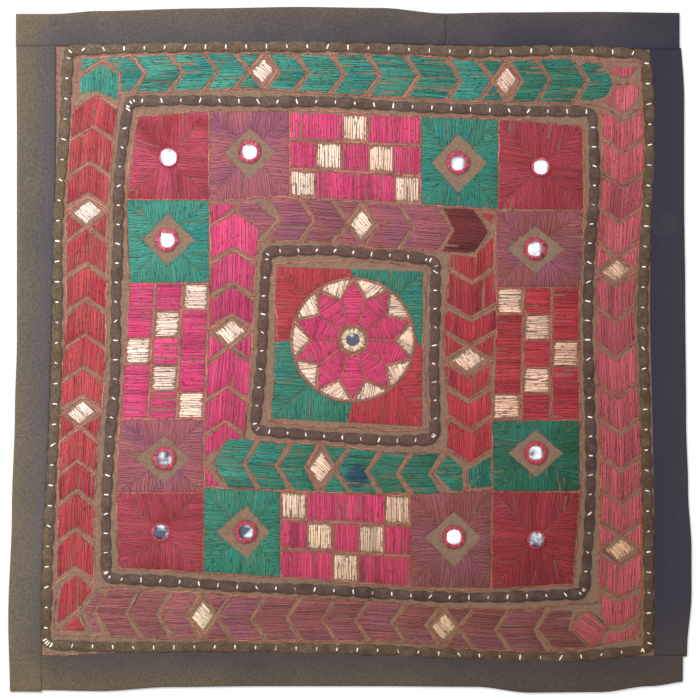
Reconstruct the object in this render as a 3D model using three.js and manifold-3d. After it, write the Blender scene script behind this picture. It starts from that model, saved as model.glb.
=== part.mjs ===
// Mirror-work embroidered square: a brown cotton panel with raised satin-stitch fields, a pieced twill
// border, three padded cords tied down in square rings, and thirteen small round mirrors.
// Millimetres, +Z up. The mat lies flat with its underside at z = 0, its top side towards +Y and the
// origin in the middle of the underside.

import * as THREE from 'three';
import { mergeVertices } from 'three/addons/utils/BufferGeometryUtils.js';
import Module from 'manifold-3d';

// Thicknesses and gaps. At a seam the two outlines step at different places, so the gap drawn there is wider.
const clothThick = 1.2;
const stitchHeight = 0.6;
const borderThick = 1.5;
const pieceGap = 0.3;
const seamGap = 0.37;
const sunk = 0.5;

// Padded cords: half width and height of the puffs between two ties, and of the waists at the ties.
const cord = { puffHalf: 2.7, puffHeight: 1.8, waistHalf: 2.0, waistHeight: 1.3, cornerRadius: 6 };
const cordTies = { outer: 116, middle: 98, inner: 38 };

// The cord's section, flat underneath, as shares of its half width and height.
const cordSection = [[-0.75, 0], [0.75, 0], [1, 0.5], [0.5, 1], [-0.5, 1], [-1, 0.5]];

// Mirrors and the room left round them in the stitched fields.
const mirror = { radius: 5.4, thick: 0.8, sides: 14, clear: 0.9 };

// Stitched fields are drawn in by this much at their outline cords, and keep no edge shorter than this.
const outlineRoom = 1.0;
const shortestEdge = 2;

// Sides are taken in the order top, right, bottom, left, and each runs clockwise. A place on a side has a
// distance along the run and a distance outwards from the middle.
const sideRuns = [
  { along: [1, 0], out: [0, 1] },
  { along: [0, -1], out: [1, 0] },
  { along: [-1, 0], out: [0, -1] },
  { along: [0, 1], out: [-1, 0] },
];

// Hand-drawn square rings: corners from the top left clockwise, and how far each side bows outwards at even
// steps between its corners.
const rings = {
  panelEdge: {
    corners: [[-177, 183], [180.6, 181.2], [183, -184], [-185.8, -183.9]],
    bows: [[1.3, 2.1, 2.6, 2.3, 1.5, 0.8], [1.5, 0.2, -0.9, -0.1, 0.6, 0.5],
      [3, 1.8, -1, -2.3, -2.1, -1.9], [0.8, -0.5, -1.2, -1.3, -1.4, -1.2]],
  },
  outerCord: {
    corners: [[-169, 180], [177.8, 177.8], [179, -180], [-182.6, -176.8]],
    bows: [[1.6, 2.5, 2.9, 1.7, 0.2, 1.7], [1.9, -0.5, -3, -1.6, -0.6, 0.3],
      [4.9, 4, 1.6, 0.9, 0.3, 1.1], [0.8, 0.3, -0.3, 0.8, 2.2, 0.5]],
  },
  outerBandOut: {
    corners: [[-163, 174.8], [174, 173.4], [173.5, -172.5], [-177.8, -170.4]],
    bows: [[2.6, 4, 3.3, 3.6, -0.1, 1.6], [2.7, 0.5, -3.4, -1.1, 0.9, 1.5],
      [8.6, 7.3, 3.1, 3.3, 2.8, 1.6], [-0.1, 1.1, 1.6, 0.9, 2.9, 2.8]],
  },
  outerBandIn: {
    corners: [[-138.6, 154.2], [150.8, 146.8], [148.8, -151.6], [-153.6, -142]],
    bows: [[2.1, 4.5, 2.8, 1.7, 0.5, 0.7], [0.6, -2.3, -2.7, -1.4, 0.8, 0.5],
      [4.7, 5.7, 3.6, 2.1, 2.6, 1], [2.1, 1.9, -0.1, 1.1, 2.5, 2.3]],
  },
  middleCord: {
    corners: [[-133, 149.3], [145.6, 143], [140.6, -146.4], [-146.4, -137]],
    bows: [[1.3, 1.4, 2.2, 0.7, -0.2, -0.6], [1.8, -0.4, -1, 0.6, 2.4, 2.1],
      [2.8, 4.5, 3.4, 2.5, 2.4, 0.5], [1.8, 1.6, 0.2, 1.7, 2.3, 3.2]],
  },
  fieldOut: {
    corners: [[-127.4, 140.2], [139.6, 134.4], [134, -140.6], [-139, -131]],
    bows: [[4, 4.9, 5.7, 4, 3.7, 2.6], [1.9, 0.9, 0.1, 1.1, 3.3, 2.6],
      [3.8, 6.1, 4.2, 2.8, 1.8, 0.6], [2.8, 3.2, 1.6, 0.5, 2.6, 4.9]],
  },
  fieldIn: {
    corners: [[-84.2, 88.8], [87.6, 84.2], [85.4, -83.4], [-87.4, -82.4]],
    bows: [[3.9, 3.1, 1.9, 1.2], [-0.2, 1.8, -2, -0.6],
      [3.5, 3.2, 2.4, 1.1], [0.6, -0.1, -0.9, -1.1]],
  },
  innerBandIn: {
    corners: [[-55, 65.5], [59.8, 58.4], [58.4, -61.2], [-63.4, -53.2]],
    bows: [[1, 1.6, -0.2, 0.3], [-1.5, -3.5, -2, -0.1],
      [2.1, 1.3, 0.1, 0.4], [-0.6, -0.9, -0.3, 0.4]],
  },
  innerCord: {
    corners: [[-49.8, 59.3], [51.4, 53.8], [50.8, -53.6], [-57.2, -48.2]],
    bows: [[1.5, 2.5, 1.5, 1.4], [-0.2, -0.2, -0.9, 0.1],
      [1.8, 1.9, 1.4, 0.7], [-0.6, -1.1, -0.5, 0]],
  },
  middleOut: {
    corners: [[-45.2, 51.7], [45.4, 48.6], [44.8, -47.6], [-48.8, -42.4]],
    bows: [[1.6, 3.1, 3.4, 2.5], [0.2, -1.3, -0.6, 0.6],
      [1.9, 0.8, 2.1, 1.6], [-1.5, -2.9, -3.1, -0.5]],
  },
};

// The turned outer edge of the border, one row of places for each side, as [along, out]. The first and the
// last place of a side are near its corners.
const hemEdge = [
  [[-200.4, 201.6], [-177.6, 201.6], [-150, 203.4], [-90, 204.9], [-30, 205.8], [18, 205.2], [57, 201.9],
    [90, 202.5], [150, 202.8], [197.4, 202.2]],
  [[-202.2, 197.4], [-150, 200.4], [-90, 200.4], [-36, 201], [42, 201.6], [84, 202.8], [120, 204.8],
    [146, 204.8], [180, 202.2], [198.6, 199.8]],
  [[-199.8, 198.6], [-180, 201.6], [-150, 205.2], [-108, 205.5], [-75, 202], [-12, 201.6], [54, 201.6],
    [108, 202.2], [150, 204.6], [186, 204], [204, 204.9]],
  [[-204.9, 204], [-162, 205], [-96, 202.8], [-36, 201], [6, 199.8], [126, 199.8], [201.6, 200.4]],
];

// Where the strips of the border are seamed to each other, as x or y of the seam.
const seams = {
  topPieces: 57.6, topOverLeft: 183, topOverRight: 181.2, bottomUnderRight: -183.9, bottomByLeft: -185.7,
};

// Steps along curved edges.
const steps = { ringSide: 14, seam: 14, hem: 20, rim: 40, cordSide: 24, cordCorner: 6, cordLength: 2000 };

// Chevron points of the embroidered arrows along each side of the two bands. A cream lozenge fills the
// cell that ends at a point marked with cream. Cells counted as fitted are drawn by hand at the corners.
const armLength = 8.6;
const lozenge = { top: 0.08, bottom: 0.92, room: 2 };
const outerArrows = [
  {
    points: [
      -138.6, -122.4, -100.2, -79.2, -61.2, -43.2, -25.2, -3.6, 18, 40.8, 66, 85.2, 102, 120, 142.2, 157,
    ],
    cream: [-43.2, 102],
    fitted: [0, 14],
  },
  {
    points: [
      -152, -138, -118.8, -97.8, -76.8, -56.4, -38.4, -18, 4.2, 28.8, 49.2, 72, 91.8, 111, 128.4, 149.5, 166.8,
    ],
    cream: [-38.4, 128.4],
    fitted: [0, 15],
  },
  {
    points: [
      -130, -112.2, -88.2, -66, -46.8, -25.8, -3.6, 16.8, 37.2, 58.8, 79.2, 97.2, 114.6, 133.2, 153, 166,
    ],
    cream: [-46.8, 97.2],
    fitted: [0, 14],
  },
  {
    points: [
      -148, -131.4, -108, -85.2, -66.6, -46.8, -28.2, -10.8, 9, 30, 51, 73.2, 92.4, 112.2, 133.8, 153.6, 173,
    ],
    cream: [-28.2, 92.4],
    fitted: [0, 15],
  },
];
const innerArrows = [
  { points: [-62, -43.2, -21.6, -1.8, 15.6, 37.8, 61.8, 84], cream: [15.6], fitted: [0] },
  { points: [-57, -40.2, -19.2, -3, 15, 30, 48, 68.4], cream: [15], fitted: [0] },
  { points: [-67.8, -49.2, -28.8, -10.8, 8.4, 26.4, 43.2, 63, 82.8], cream: [26.4], fitted: [0] },
  { points: [-62, -42.6, -22.2, 1.2, 20.4, 39, 60, 83.2], cream: [20.4], fitted: [0] },
];

// Stitched cells fitted to each other by hand where two bands meet, as plan outlines: the corners of the
// outer band from the top left clockwise, then those of the inner one.
const fittedCells = [
  [[-161.6, 174.6], [-151.4, 175], [-149.8, 173.8], [-161.6, 166.2]],
  [[-148.4, 171.8], [-138.8, 165.6], [-139.4, 149.4], [-151.4, 154.8], [-161.8, 153.4], [-161.8, 163.2]],
  [[-146.4, 174.8], [-131.5, 175.6], [-123.6, 165.8], [-131.5, 155], [-137.4, 154.4], [-137.6, 165.8]],
  [[137.4, 170.8], [141.9, 172.4], [149.5, 171.4], [155.8, 165.7], [158, 159.4], [155.2, 154.3], [150.7, 150.2],
    [136.8, 150], [143.6, 161.9]],
  [[157.4, 170.6], [171.6, 170.6], [171.6, 167.6], [167.2, 162.8], [161.5, 162.8], [156.8, 166.4]],
  [[158.3, 157.4], [172.6, 160], [172.6, 149.5], [164, 141.6], [153, 147.6], [154.6, 152.4]],
  [[150.6, -144.8], [160.8, -151.4], [173.2, -145], [173.2, -158.8], [162, -165.4], [155, -165.4],
    [150.2, -158.4]],
  [[133.2, -166.8], [138, -158.4], [142.8, -157.2], [150, -163.8], [154.6, -168.6], [150, -177.2], [145.2, -177]],
  [[155.4, -168.8], [163.2, -168.8], [172.4, -163], [171.8, -171.2], [164, -174.6], [151.8, -177.4]],
  [[112.8, -167.4], [120, -156.6], [134, -156.6], [131.6, -166.8], [143, -178], [121.8, -179]],
  [[-159.8, -155.4], [-152.3, -145.4], [-145.4, -145.9], [-154.6, -158], [-148.4, -168.8], [-154.8, -168.8]],
  [[-175, -151], [-172.6, -141], [-163.7, -134], [-154.8, -142.8], [-155.6, -145.8], [-162.6, -154.6],
    [-175, -164.6]],
  [[-163.7, -158.8], [-157.6, -168.6], [-173.6, -168.2]],
  [[-83, 87.6], [-70, 88.6], [-69.6, 84.8], [-83, 74.2]],
  [[-67.6, 88.2], [-57, 89.2], [-43.9, 78.2], [-55, 66.8], [-57.6, 66.8], [-58.2, 74.6], [-67.4, 83.4]],
  [[77.4, 82.8], [86, 81.8], [85.6, 73.6]],
  [[60.6, 58], [74.6, 56.4], [85.6, 68.4], [85.6, 49.6], [73.6, 41.2], [60.6, 48.6]],
  [[58.4, -62.6], [67.8, -70.8], [68.4, -83.8], [60.4, -84.2], [50.6, -73.4]],
  [[71.2, -71.2], [84.4, -63], [84.8, -82.4], [71.4, -83.6]],
  [[-86.2, -64.6], [-86, -52], [-75.4, -43.6], [-65, -51], [-66, -53.4], [-74.7, -56]],
  [[-86.2, -69.6], [-86.4, -82], [-77.4, -82.2]],
];

// Where the squares of the field meet along each side: corner, diamond, check, diamond, corner.
const fieldCuts = [
  [-84.6, -36, 42.3, 89.4],
  [-83.4, -37.2, 42, 85.2],
  [-84.9, -36.3, 41.4, 87.9],
  [-85.8, -41.4, 39.9, 90.3],
];

// Mirrors: place in plan, and for those in bare ground how far it reaches up, right, down and left.
const mirrors = [
  { name: 'corner_top_left', x: -108.9, y: 115.5 },
  { name: 'corner_top_right', x: 114.6, y: 109.8 },
  { name: 'corner_bottom_right', x: 111.9, y: -113.7 },
  { name: 'corner_bottom_left', x: -113.4, y: -109.2 },
  { name: 'diamond_top_left', x: -60.3, y: 118.8, bare: [14.4, 15.9, 16.8, 14.7] },
  { name: 'diamond_top_right', x: 64.8, y: 112.2, bare: [17.4, 17.4, 18, 15.6] },
  { name: 'diamond_right_upper', x: 111, y: 60.6, bare: [13.6, 17.6, 14.4, 16.8] },
  { name: 'diamond_right_lower', x: 111.6, y: -61.8, bare: [13.8, 16.2, 14.4, 16.8] },
  { name: 'diamond_bottom_right', x: 62.4, y: -112.2, bare: [15.2, 16.2, 18, 17] },
  { name: 'diamond_bottom_left', x: -62.4, y: -109.2, bare: [15.6, 14.4, 15.6, 18] },
  { name: 'diamond_left_lower', x: -111.3, y: -65.1, bare: [13.8, 15.3, 14.7, 17.1] },
  { name: 'diamond_left_upper', x: -109.8, y: 66, bare: [15.6, 16.8, 15, 14.4] },
  { name: 'rosette', x: 1.8, y: 6 },
];

// The rosette in the middle square: petals round a mirror, with cream wedges out to a round rim.
const rosette = {
  x: 1.8, y: 6, petals: 10, rim: 37, root: 9.4, shoulder: 25, tip: 34.6, petalHalf: 15, rootHalf: 13,
};
const rosetteRoom = { petal: 0.4, wedge: 0.5, wedgeRoot: 1.4, wedgeSide: 0.1 };

// Check squares: five columns along the side and three rows from the outside in, as [first, last] columns.
const checkRows = [
  [[0, 2], [2, 3], [3, 5]],
  [[0, 1], [1, 2], [2, 3], [3, 4], [4, 5]],
  [[0, 1], [1, 4], [4, 5]],
];
const checkColumns = 5;

const wasm = await Module();
wasm.setup();

const mix = (a, b, t) => a + (b - a) * t;
const dot = (a, b) => a[0] * b[0] + a[1] * b[1];

// The plan point of a place on a side.
function plan(side, along, out) {
  const run = sideRuns[side];
  return [along * run.along[0] + out * run.out[0], along * run.along[1] + out * run.out[1]];
}

// How far out a ring lies on a side, at a distance along it.
function ringOut(ring, side, along) {
  const run = sideRuns[side];
  const from = ring.corners[side];
  const to = ring.corners[(side + 1) % ring.corners.length];
  const t = (along - dot(from, run.along)) / (dot(to, run.along) - dot(from, run.along));
  const bows = [0, ...ring.bows[side], 0].map((bow, i) => new THREE.Vector2(i, bow));
  const bow = new THREE.SplineCurve(bows).getPoint(THREE.MathUtils.clamp(t, 0, 1)).y;
  return mix(dot(from, run.out), dot(to, run.out), t) + bow;
}

// A point of a ring by side and by the share of the side's length.
function ringPoint(ring, side, share) {
  const run = sideRuns[side];
  const from = dot(ring.corners[side], run.along);
  const to = dot(ring.corners[(side + 1) % ring.corners.length], run.along);
  const along = mix(from, to, share);
  return plan(side, along, ringOut(ring, side, along));
}

// One turn round a ring with an equal number of points on every side.
function ringLoop(ring, perSide) {
  const points = [];
  for (let side = 0; side < sideRuns.length; side++) {
    for (let i = 0; i < perSide; i++) points.push(ringPoint(ring, side, i / perSide));
  }
  return points;
}

// A closed outline drawn in by a distance, each edge moved and met with the next. Clockwise or not.
function drawnIn(points, distance) {
  const turn = Math.sign(THREE.ShapeUtils.area(points.map(([x, y]) => new THREE.Vector2(x, y))));
  return points.map((here, i) => {
    const before = points[(i + points.length - 1) % points.length];
    const after = points[(i + 1) % points.length];
    const first = new THREE.Vector2(here[0] - before[0], here[1] - before[1]).normalize();
    const second = new THREE.Vector2(after[0] - here[0], after[1] - here[1]).normalize();
    const inFirst = [-first.y * turn, first.x * turn];
    const inSecond = [-second.y * turn, second.x * turn];
    const reach = distance / Math.max(1 + dot(inFirst, inSecond), 0.35);
    return [here[0] + (inFirst[0] + inSecond[0]) * reach, here[1] + (inFirst[1] + inSecond[1]) * reach];
  });
}

// A closed mesh of positions alone, as the solid library takes it.
function toSolid(geometry) {
  const bare = geometry.clone();
  bare.deleteAttribute('normal');
  bare.deleteAttribute('uv');
  const merged = mergeVertices(bare, 1e-4);
  return new wasm.Manifold(new wasm.Mesh({
    numProp: 3,
    vertProperties: new Float32Array(merged.attributes.position.array),
    triVerts: new Uint32Array(merged.index.array),
  }));
}

// A joined solid as a geometry again.
function toGeometry(solid) {
  const mesh = solid.getMesh();
  const geometry = new THREE.BufferGeometry();
  geometry.setAttribute('position', new THREE.BufferAttribute(mesh.vertProperties, 3));
  geometry.setIndex(new THREE.BufferAttribute(mesh.triVerts, 1));
  return geometry;
}

// An outline made a slab from one height to another.
function slab(points, low, high, holes = []) {
  const outline = points.map(([x, y]) => new THREE.Vector2(x, y));
  const shape = new THREE.Shape(THREE.ShapeUtils.isClockWise(outline) ? outline.reverse() : outline);
  for (const hole of holes) shape.holes.push(new THREE.Path(hole.map(([x, y]) => new THREE.Vector2(x, y))));
  const geometry = new THREE.ExtrudeGeometry(shape, { depth: high - low, bevelEnabled: false });
  geometry.translate(0, 0, low);
  return geometry;
}

// An outline without the points that nearly fall on the one before.
function distinct(points) {
  return points.filter(([x, y], i) => {
    const [lastX, lastY] = points[(i + points.length - 1) % points.length];
    return Math.hypot(x - lastX, y - lastY) > shortestEdge;
  });
}

// A stitched field: its outline drawn in for the cord round it, sunk into the cloth so that they join.
function field(points, holes = [], room = outlineRoom) {
  return toSolid(slab(drawnIn(distinct(points), room), clothThick - sunk, clothThick + stitchHeight, holes));
}

// The arrows of one band on one side, with its lozenges.
function bandFields(outer, inner, side, arrows) {
  const startInside = dot(inner.corners[side], sideRuns[side].along);
  const at = (along, share) => {
    return plan(side, along, mix(ringOut(outer, side, along), ringOut(inner, side, along), share));
  };
  const clampedInside = (along) => at(Math.max(along, startInside), 1);
  const fields = [];
  for (let i = 1; i < arrows.points.length; i++) {
    const rear = arrows.points[i - 1];
    const front = arrows.points[i];
    if (arrows.fitted.includes(i - 1)) continue;
    if (arrows.cream.includes(front)) {
      const half = (front - rear) / 2;
      const corners = [
        at(rear, 0.5), at(rear + half, lozenge.top), at(front, 0.5), at(rear + half, lozenge.bottom),
      ];
      fields.push(field(corners, [], lozenge.room));
      fields.push(field([at(rear - armLength, 0), at(rear + half, 0), at(rear, 0.5)]));
      fields.push(field([at(rear, 0.5), at(rear + half, 1), clampedInside(rear - armLength)]));
    } else {
      fields.push(field([at(rear - armLength, 0), at(front - armLength, 0), at(front, 0.5),
        clampedInside(front - armLength), clampedInside(rear - armLength), at(rear, 0.5)]));
    }
  }
  return fields;
}

// A circle as an outline.
function circle(x, y, radius, sides) {
  return Array.from({ length: sides }, (unused, i) => {
    const angle = (i / sides) * Math.PI * 2;
    return [x + radius * Math.cos(angle), y + radius * Math.sin(angle)];
  });
}

// The opening in a stitched square over a mirror: bare ground, or just the mirror's own room.
function mirrorRoom(place) {
  if (!place.bare) return circle(place.x, place.y, mirror.radius + mirror.clear, mirror.sides);
  const [up, right, down, left] = place.bare;
  return [
    [place.x, place.y + up], [place.x + right, place.y], [place.x, place.y - down], [place.x - left, place.y],
  ];
}

// Whether a place lies inside a clockwise outline of four corners.
function insideQuad(place, quad) {
  return quad.every((from, i) => {
    const to = quad[(i + 1) % quad.length];
    return (to[0] - from[0]) * (place.y - from[1]) - (to[1] - from[1]) * (place.x - from[0]) < 0;
  });
}

// The sixteen squares of the field, clockwise from the top left corner.
function squareFields() {
  const { fieldOut, fieldIn } = rings;
  const fields = [];
  const outAt = (side, along) => plan(side, along, ringOut(fieldOut, side, along));
  const inAt = (side, along) => plan(side, along, ringOut(fieldIn, side, along));
  for (let side = 0; side < sideRuns.length; side++) {
    const previous = (side + 3) % sideRuns.length;
    const cuts = fieldCuts[side];
    const corner = [
      fieldOut.corners[side], outAt(side, cuts[0]),
      fieldIn.corners[side], outAt(previous, fieldCuts[previous][3]),
    ];
    const cell = (a, b) => [outAt(side, a), outAt(side, b), inAt(side, b), inAt(side, a)];
    for (const quad of [corner, cell(cuts[0], cuts[1]), cell(cuts[2], cuts[3])]) {
      const held = mirrors.filter((place) => insideQuad(place, quad));
      fields.push(field(quad, held.map(mirrorRoom)));
    }
    fields.push(...checkFields(cell(cuts[1], cuts[2])));
  }
  return fields;
}

// The blocks of one check square, by its corners: outside start and end, then inside end and start.
function checkFields([outStart, outEnd, inEnd, inStart]) {
  const at = (column, row) => {
    const u = column / checkColumns;
    const v = row / checkRows.length;
    const between = (a, b, t) => [mix(a[0], b[0], t), mix(a[1], b[1], t)];
    return between(between(outStart, outEnd, u), between(inStart, inEnd, u), v);
  };
  return checkRows.flatMap((blocks, row) => blocks.map(([from, to]) =>
    field([at(from, row), at(to, row), at(to, row + 1), at(from, row + 1)])));
}

// The middle square: four quarters round the rosette, its petals and its cream wedges.
function middleFields() {
  const { middleOut } = rings;
  const centre = [rosette.x, rosette.y];
  const polar = (angle, radius) => [centre[0] + radius * Math.sin(angle), centre[1] + radius * Math.cos(angle)];
  const rimOutline = circle(...centre, rosette.rim + outlineRoom, steps.rim);
  const rimSolid = toSolid(slab(rimOutline, 0, clothThick + 2 * stitchHeight));
  const fields = [];
  for (let side = 0; side < sideRuns.length; side++) {
    const previous = (side + 3) % sideRuns.length;
    const quarter = [
      middleOut.corners[side], ringPoint(middleOut, side, 0.5), centre, ringPoint(middleOut, previous, 0.5),
    ];
    fields.push(field(quarter).subtract(rimSolid));
  }
  const pitch = (Math.PI * 2) / rosette.petals;
  const degree = Math.PI / 180;
  const narrow = rosette.rootHalf * degree;
  const wide = rosette.petalHalf * degree;
  for (let i = 0; i < rosette.petals; i++) {
    const angle = i * pitch;
    const petal = [polar(angle - narrow, rosette.root), polar(angle - wide, rosette.shoulder),
      polar(angle, rosette.tip), polar(angle + wide, rosette.shoulder), polar(angle + narrow, rosette.root)];
    const wedge = [polar(angle + pitch / 2, rosette.shoulder + rosetteRoom.wedgeRoot),
      polar(angle + pitch * rosetteRoom.wedgeSide, rosette.rim), polar(angle + pitch / 2, rosette.rim),
      polar(angle + pitch * (1 - rosetteRoom.wedgeSide), rosette.rim)];
    fields.push(field(petal, [], rosetteRoom.petal));
    fields.push(field(wedge, [], rosetteRoom.wedge));
  }
  return fields;
}

// The embroidered panel: flat cloth with every stitched field standing up from it.
function panelGeometry() {
  const fields = [...squareFields(), ...middleFields(), ...fittedCells.map((outline) => field(outline, [], 0))];
  for (let side = 0; side < sideRuns.length; side++) {
    fields.push(...bandFields(rings.outerBandOut, rings.outerBandIn, side, outerArrows[side]));
    fields.push(...bandFields(rings.fieldIn, rings.innerBandIn, side, innerArrows[side]));
  }
  const cloth = toSolid(slab(ringLoop(rings.panelEdge, steps.ringSide), 0, clothThick));
  return toGeometry(fields.reduce((whole, one) => whole.add(one), cloth));
}

// The turned edge of a side between two places along it, as plan points with both ends.
function hemPoints(side, from, to) {
  const curve = new THREE.SplineCurve(hemEdge[side].map(([along, out]) => new THREE.Vector2(along, out)));
  const dense = curve.getPoints(steps.hem);
  const between = dense.filter((place) => place.x > from + shortestEdge && place.x < to - shortestEdge);
  const at = (along) => {
    const next = Math.max(1, dense.findIndex((place) => place.x >= along));
    const [a, b] = [dense[next - 1], dense[next]];
    return plan(side, along, mix(a.y, b.y, (along - a.x) / (b.x - a.x)));
  };
  return [at(from), ...between.map((place) => plan(side, place.x, place.y)), at(to)];
}

// The panel's edge on one side with the gap to the strip, as plan points against the run.
function seamPoints(side, from, to) {
  return Array.from({ length: steps.seam + 1 }, (unused, i) => {
    const along = mix(to, from, i / steps.seam);
    return plan(side, along, ringOut(rings.panelEdge, side, along) + seamGap);
  });
}

// The five strips, each an outline that runs out along the turned edge and back along the panel. The top
// pieces reach over the ends of the side strips, and the bottom strip runs under the right one.
function borderOutlines() {
  const [top, right, bottom, left] = [0, 1, 2, 3];
  const [topLeft, topRight, bottomRight, bottomLeft] = rings.panelEdge.corners;
  const half = pieceGap / 2;
  const endOf = (side) => hemEdge[side][hemEdge[side].length - 1];
  const [topStart, topEnd] = [hemEdge[top][0][0], endOf(top)[0]];
  const leftEnd = plan(left, seams.topOverLeft + pieceGap, endOf(left)[1]);
  const rightStart = plan(right, -seams.topOverRight - pieceGap, topEnd);
  return {
    border_top_left: [
      ...hemPoints(top, topStart, seams.topPieces - half),
      ...seamPoints(top, topLeft[0], seams.topPieces - half), leftEnd,
    ],
    border_top_right: [
      ...hemPoints(top, seams.topPieces + half, topEnd), rightStart,
      ...seamPoints(top, seams.topPieces + half, topRight[0]),
    ],
    border_right: [
      ...hemPoints(right, -seams.topOverRight + half, -seams.bottomUnderRight - half),
      ...seamPoints(right, -seams.topOverRight + half, -seams.bottomUnderRight - half),
    ],
    border_bottom: [
      ...hemPoints(right, -seams.bottomUnderRight + half, endOf(right)[0]),
      ...hemPoints(bottom, hemEdge[bottom][0][0] + shortestEdge, -seams.bottomByLeft - half),
      ...seamPoints(bottom, -bottomRight[0], -seams.bottomByLeft - half),
    ],
    border_left: [
      plan(bottom, -seams.bottomByLeft + half, endOf(bottom)[1]),
      ...hemPoints(left, hemEdge[left][0][0], seams.topOverLeft),
      ...seamPoints(left, bottomLeft[1], topLeft[1]),
    ],
  };
}

// A ring's middle line with round corners, as plan points at short steps.
function roundedLoop(ring) {
  const points = [];
  for (let side = 0; side < sideRuns.length; side++) {
    const corner = ring.corners[side];
    const run = sideRuns[side];
    const arriving = sideRuns[(side + 3) % sideRuns.length];
    const before = corner.map((value, axis) => value - arriving.along[axis] * cord.cornerRadius);
    const after = corner.map((value, axis) => value + run.along[axis] * cord.cornerRadius);
    const bendPoints = [before, corner, after].map(([x, y]) => new THREE.Vector2(x, y));
    const bend = new THREE.QuadraticBezierCurve(...bendPoints);
    points.push(...bend.getPoints(steps.cordCorner).map((place) => [place.x, place.y]));
    const from = dot(corner, run.along) + cord.cornerRadius;
    const to = dot(ring.corners[(side + 1) % sideRuns.length], run.along) - cord.cornerRadius;
    for (let i = 1; i < steps.cordSide; i++) {
      const along = mix(from, to, i / steps.cordSide);
      points.push(plan(side, along, ringOut(ring, side, along)));
    }
  }
  return points.map(([x, y]) => new THREE.Vector3(x, y, 0));
}

// A padded cord laid in a ring: puffs between the ties and waists at them, flat underneath.
function cordGeometry(ring, ties) {
  const path = new THREE.CatmullRomCurve3(roundedLoop(ring), true, 'centripetal');
  path.arcLengthDivisions = steps.cordLength;
  const low = clothThick + pieceGap;
  const sections = ties * 2;
  const positions = [];
  for (let i = 0; i < sections; i++) {
    const place = path.getPointAt(i / sections);
    const run = path.getTangentAt(i / sections);
    const half = i % 2 ? cord.puffHalf : cord.waistHalf;
    const height = i % 2 ? cord.puffHeight : cord.waistHeight;
    for (const [across, up] of cordSection) {
      positions.push(place.x + run.y * half * across, place.y - run.x * half * across, low + height * up);
    }
  }
  const index = [];
  const count = cordSection.length;
  for (let i = 0; i < sections; i++) {
    const here = i * count;
    const ahead = ((i + 1) % sections) * count;
    for (let k = 0; k < count; k++) {
      const next = (k + 1) % count;
      index.push(here + k, ahead + k, here + next, here + next, ahead + k, ahead + next);
    }
  }
  const geometry = new THREE.BufferGeometry();
  geometry.setAttribute('position', new THREE.Float32BufferAttribute(positions, 3));
  geometry.setIndex(index);
  return geometry;
}

// Materials, by what the piece is made of.
const cottonGround = new THREE.MeshStandardMaterial({ color: 0xa8605c, roughness: 0.85, metalness: 0 });
const borderTwill = new THREE.MeshStandardMaterial({ color: 0x504c50, roughness: 0.95, metalness: 0 });
const cordYarn = new THREE.MeshStandardMaterial({ color: 0x5c4c40, roughness: 0.95, metalness: 0 });
const mirrorGlass = new THREE.MeshStandardMaterial({ color: 0xd8dcdc, roughness: 0.08, metalness: 1 });

const group = new THREE.Group();

function place(name, geometry, material) {
  const mesh = new THREE.Mesh(geometry, material);
  mesh.name = name;
  group.add(mesh);
  return mesh;
}

place('ground_panel', panelGeometry(), cottonGround);

for (const [name, outline] of Object.entries(borderOutlines())) {
  place(name, slab(outline, 0, borderThick), borderTwill);
}

place('cord_outer', cordGeometry(rings.outerCord, cordTies.outer), cordYarn);
place('cord_middle', cordGeometry(rings.middleCord, cordTies.middle), cordYarn);
place('cord_inner', cordGeometry(rings.innerCord, cordTies.inner), cordYarn);

const disc = new THREE.CylinderGeometry(mirror.radius, mirror.radius, mirror.thick, mirror.sides);
disc.rotateX(Math.PI / 2);
for (const spot of mirrors) {
  const mesh = place(`mirror_${spot.name}`, disc, mirrorGlass);
  mesh.position.set(spot.x, spot.y, clothThick + pieceGap + mirror.thick / 2);
}

export default group;
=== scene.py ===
# A mirror-work embroidered square mat, laid flat and seen from straight above. It is built here as it is
# made: brown cotton, twill strips sewn round it, padded cords tied down, satin stitch, outlines, mirrors.
import math

import bpy
import numpy as np
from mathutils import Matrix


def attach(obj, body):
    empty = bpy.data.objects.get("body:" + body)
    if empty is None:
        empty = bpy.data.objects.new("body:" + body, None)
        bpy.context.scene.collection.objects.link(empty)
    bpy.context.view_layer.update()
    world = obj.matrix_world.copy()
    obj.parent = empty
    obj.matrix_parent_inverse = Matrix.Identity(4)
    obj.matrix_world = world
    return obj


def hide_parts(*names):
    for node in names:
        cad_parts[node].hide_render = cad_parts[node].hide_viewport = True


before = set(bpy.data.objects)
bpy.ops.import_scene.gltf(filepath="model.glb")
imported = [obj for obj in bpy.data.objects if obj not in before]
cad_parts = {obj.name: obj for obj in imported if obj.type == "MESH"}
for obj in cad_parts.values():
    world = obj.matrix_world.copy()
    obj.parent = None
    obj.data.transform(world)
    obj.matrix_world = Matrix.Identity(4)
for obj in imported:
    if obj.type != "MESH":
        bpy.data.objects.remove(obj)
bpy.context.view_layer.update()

# The studio: a plain pale floor, a soft lamp from the upper left, a broad one overhead that the mirrors pick
# up, and the camera straight above the middle, far enough off that the square keeps its shape.
PICTURE_WIDTH = 0.42
LENS = 200.0
SENSOR = 36.0
FLOOR_SIZE = 8.0
FLOOR_DROP = 0.0003

bpy.ops.object.select_all(action="DESELECT")
bpy.ops.object.camera_add(location=(0, 0, PICTURE_WIDTH * LENS / SENSOR), rotation=(0, 0, 0))
camera = bpy.context.object
camera.data.lens = LENS
camera.data.sensor_width = SENSOR
camera.data.clip_end = 20
bpy.context.scene.camera = camera

bpy.ops.object.light_add(type="AREA", location=(-1.1, 1.3, 1.7))
lamp = bpy.context.object
lamp.name = "lamp_upper_left"
lamp.data.size = 1.1
lamp.data.energy = 34
lamp.rotation_euler = (math.radians(-37), math.radians(-33), 0)

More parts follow.
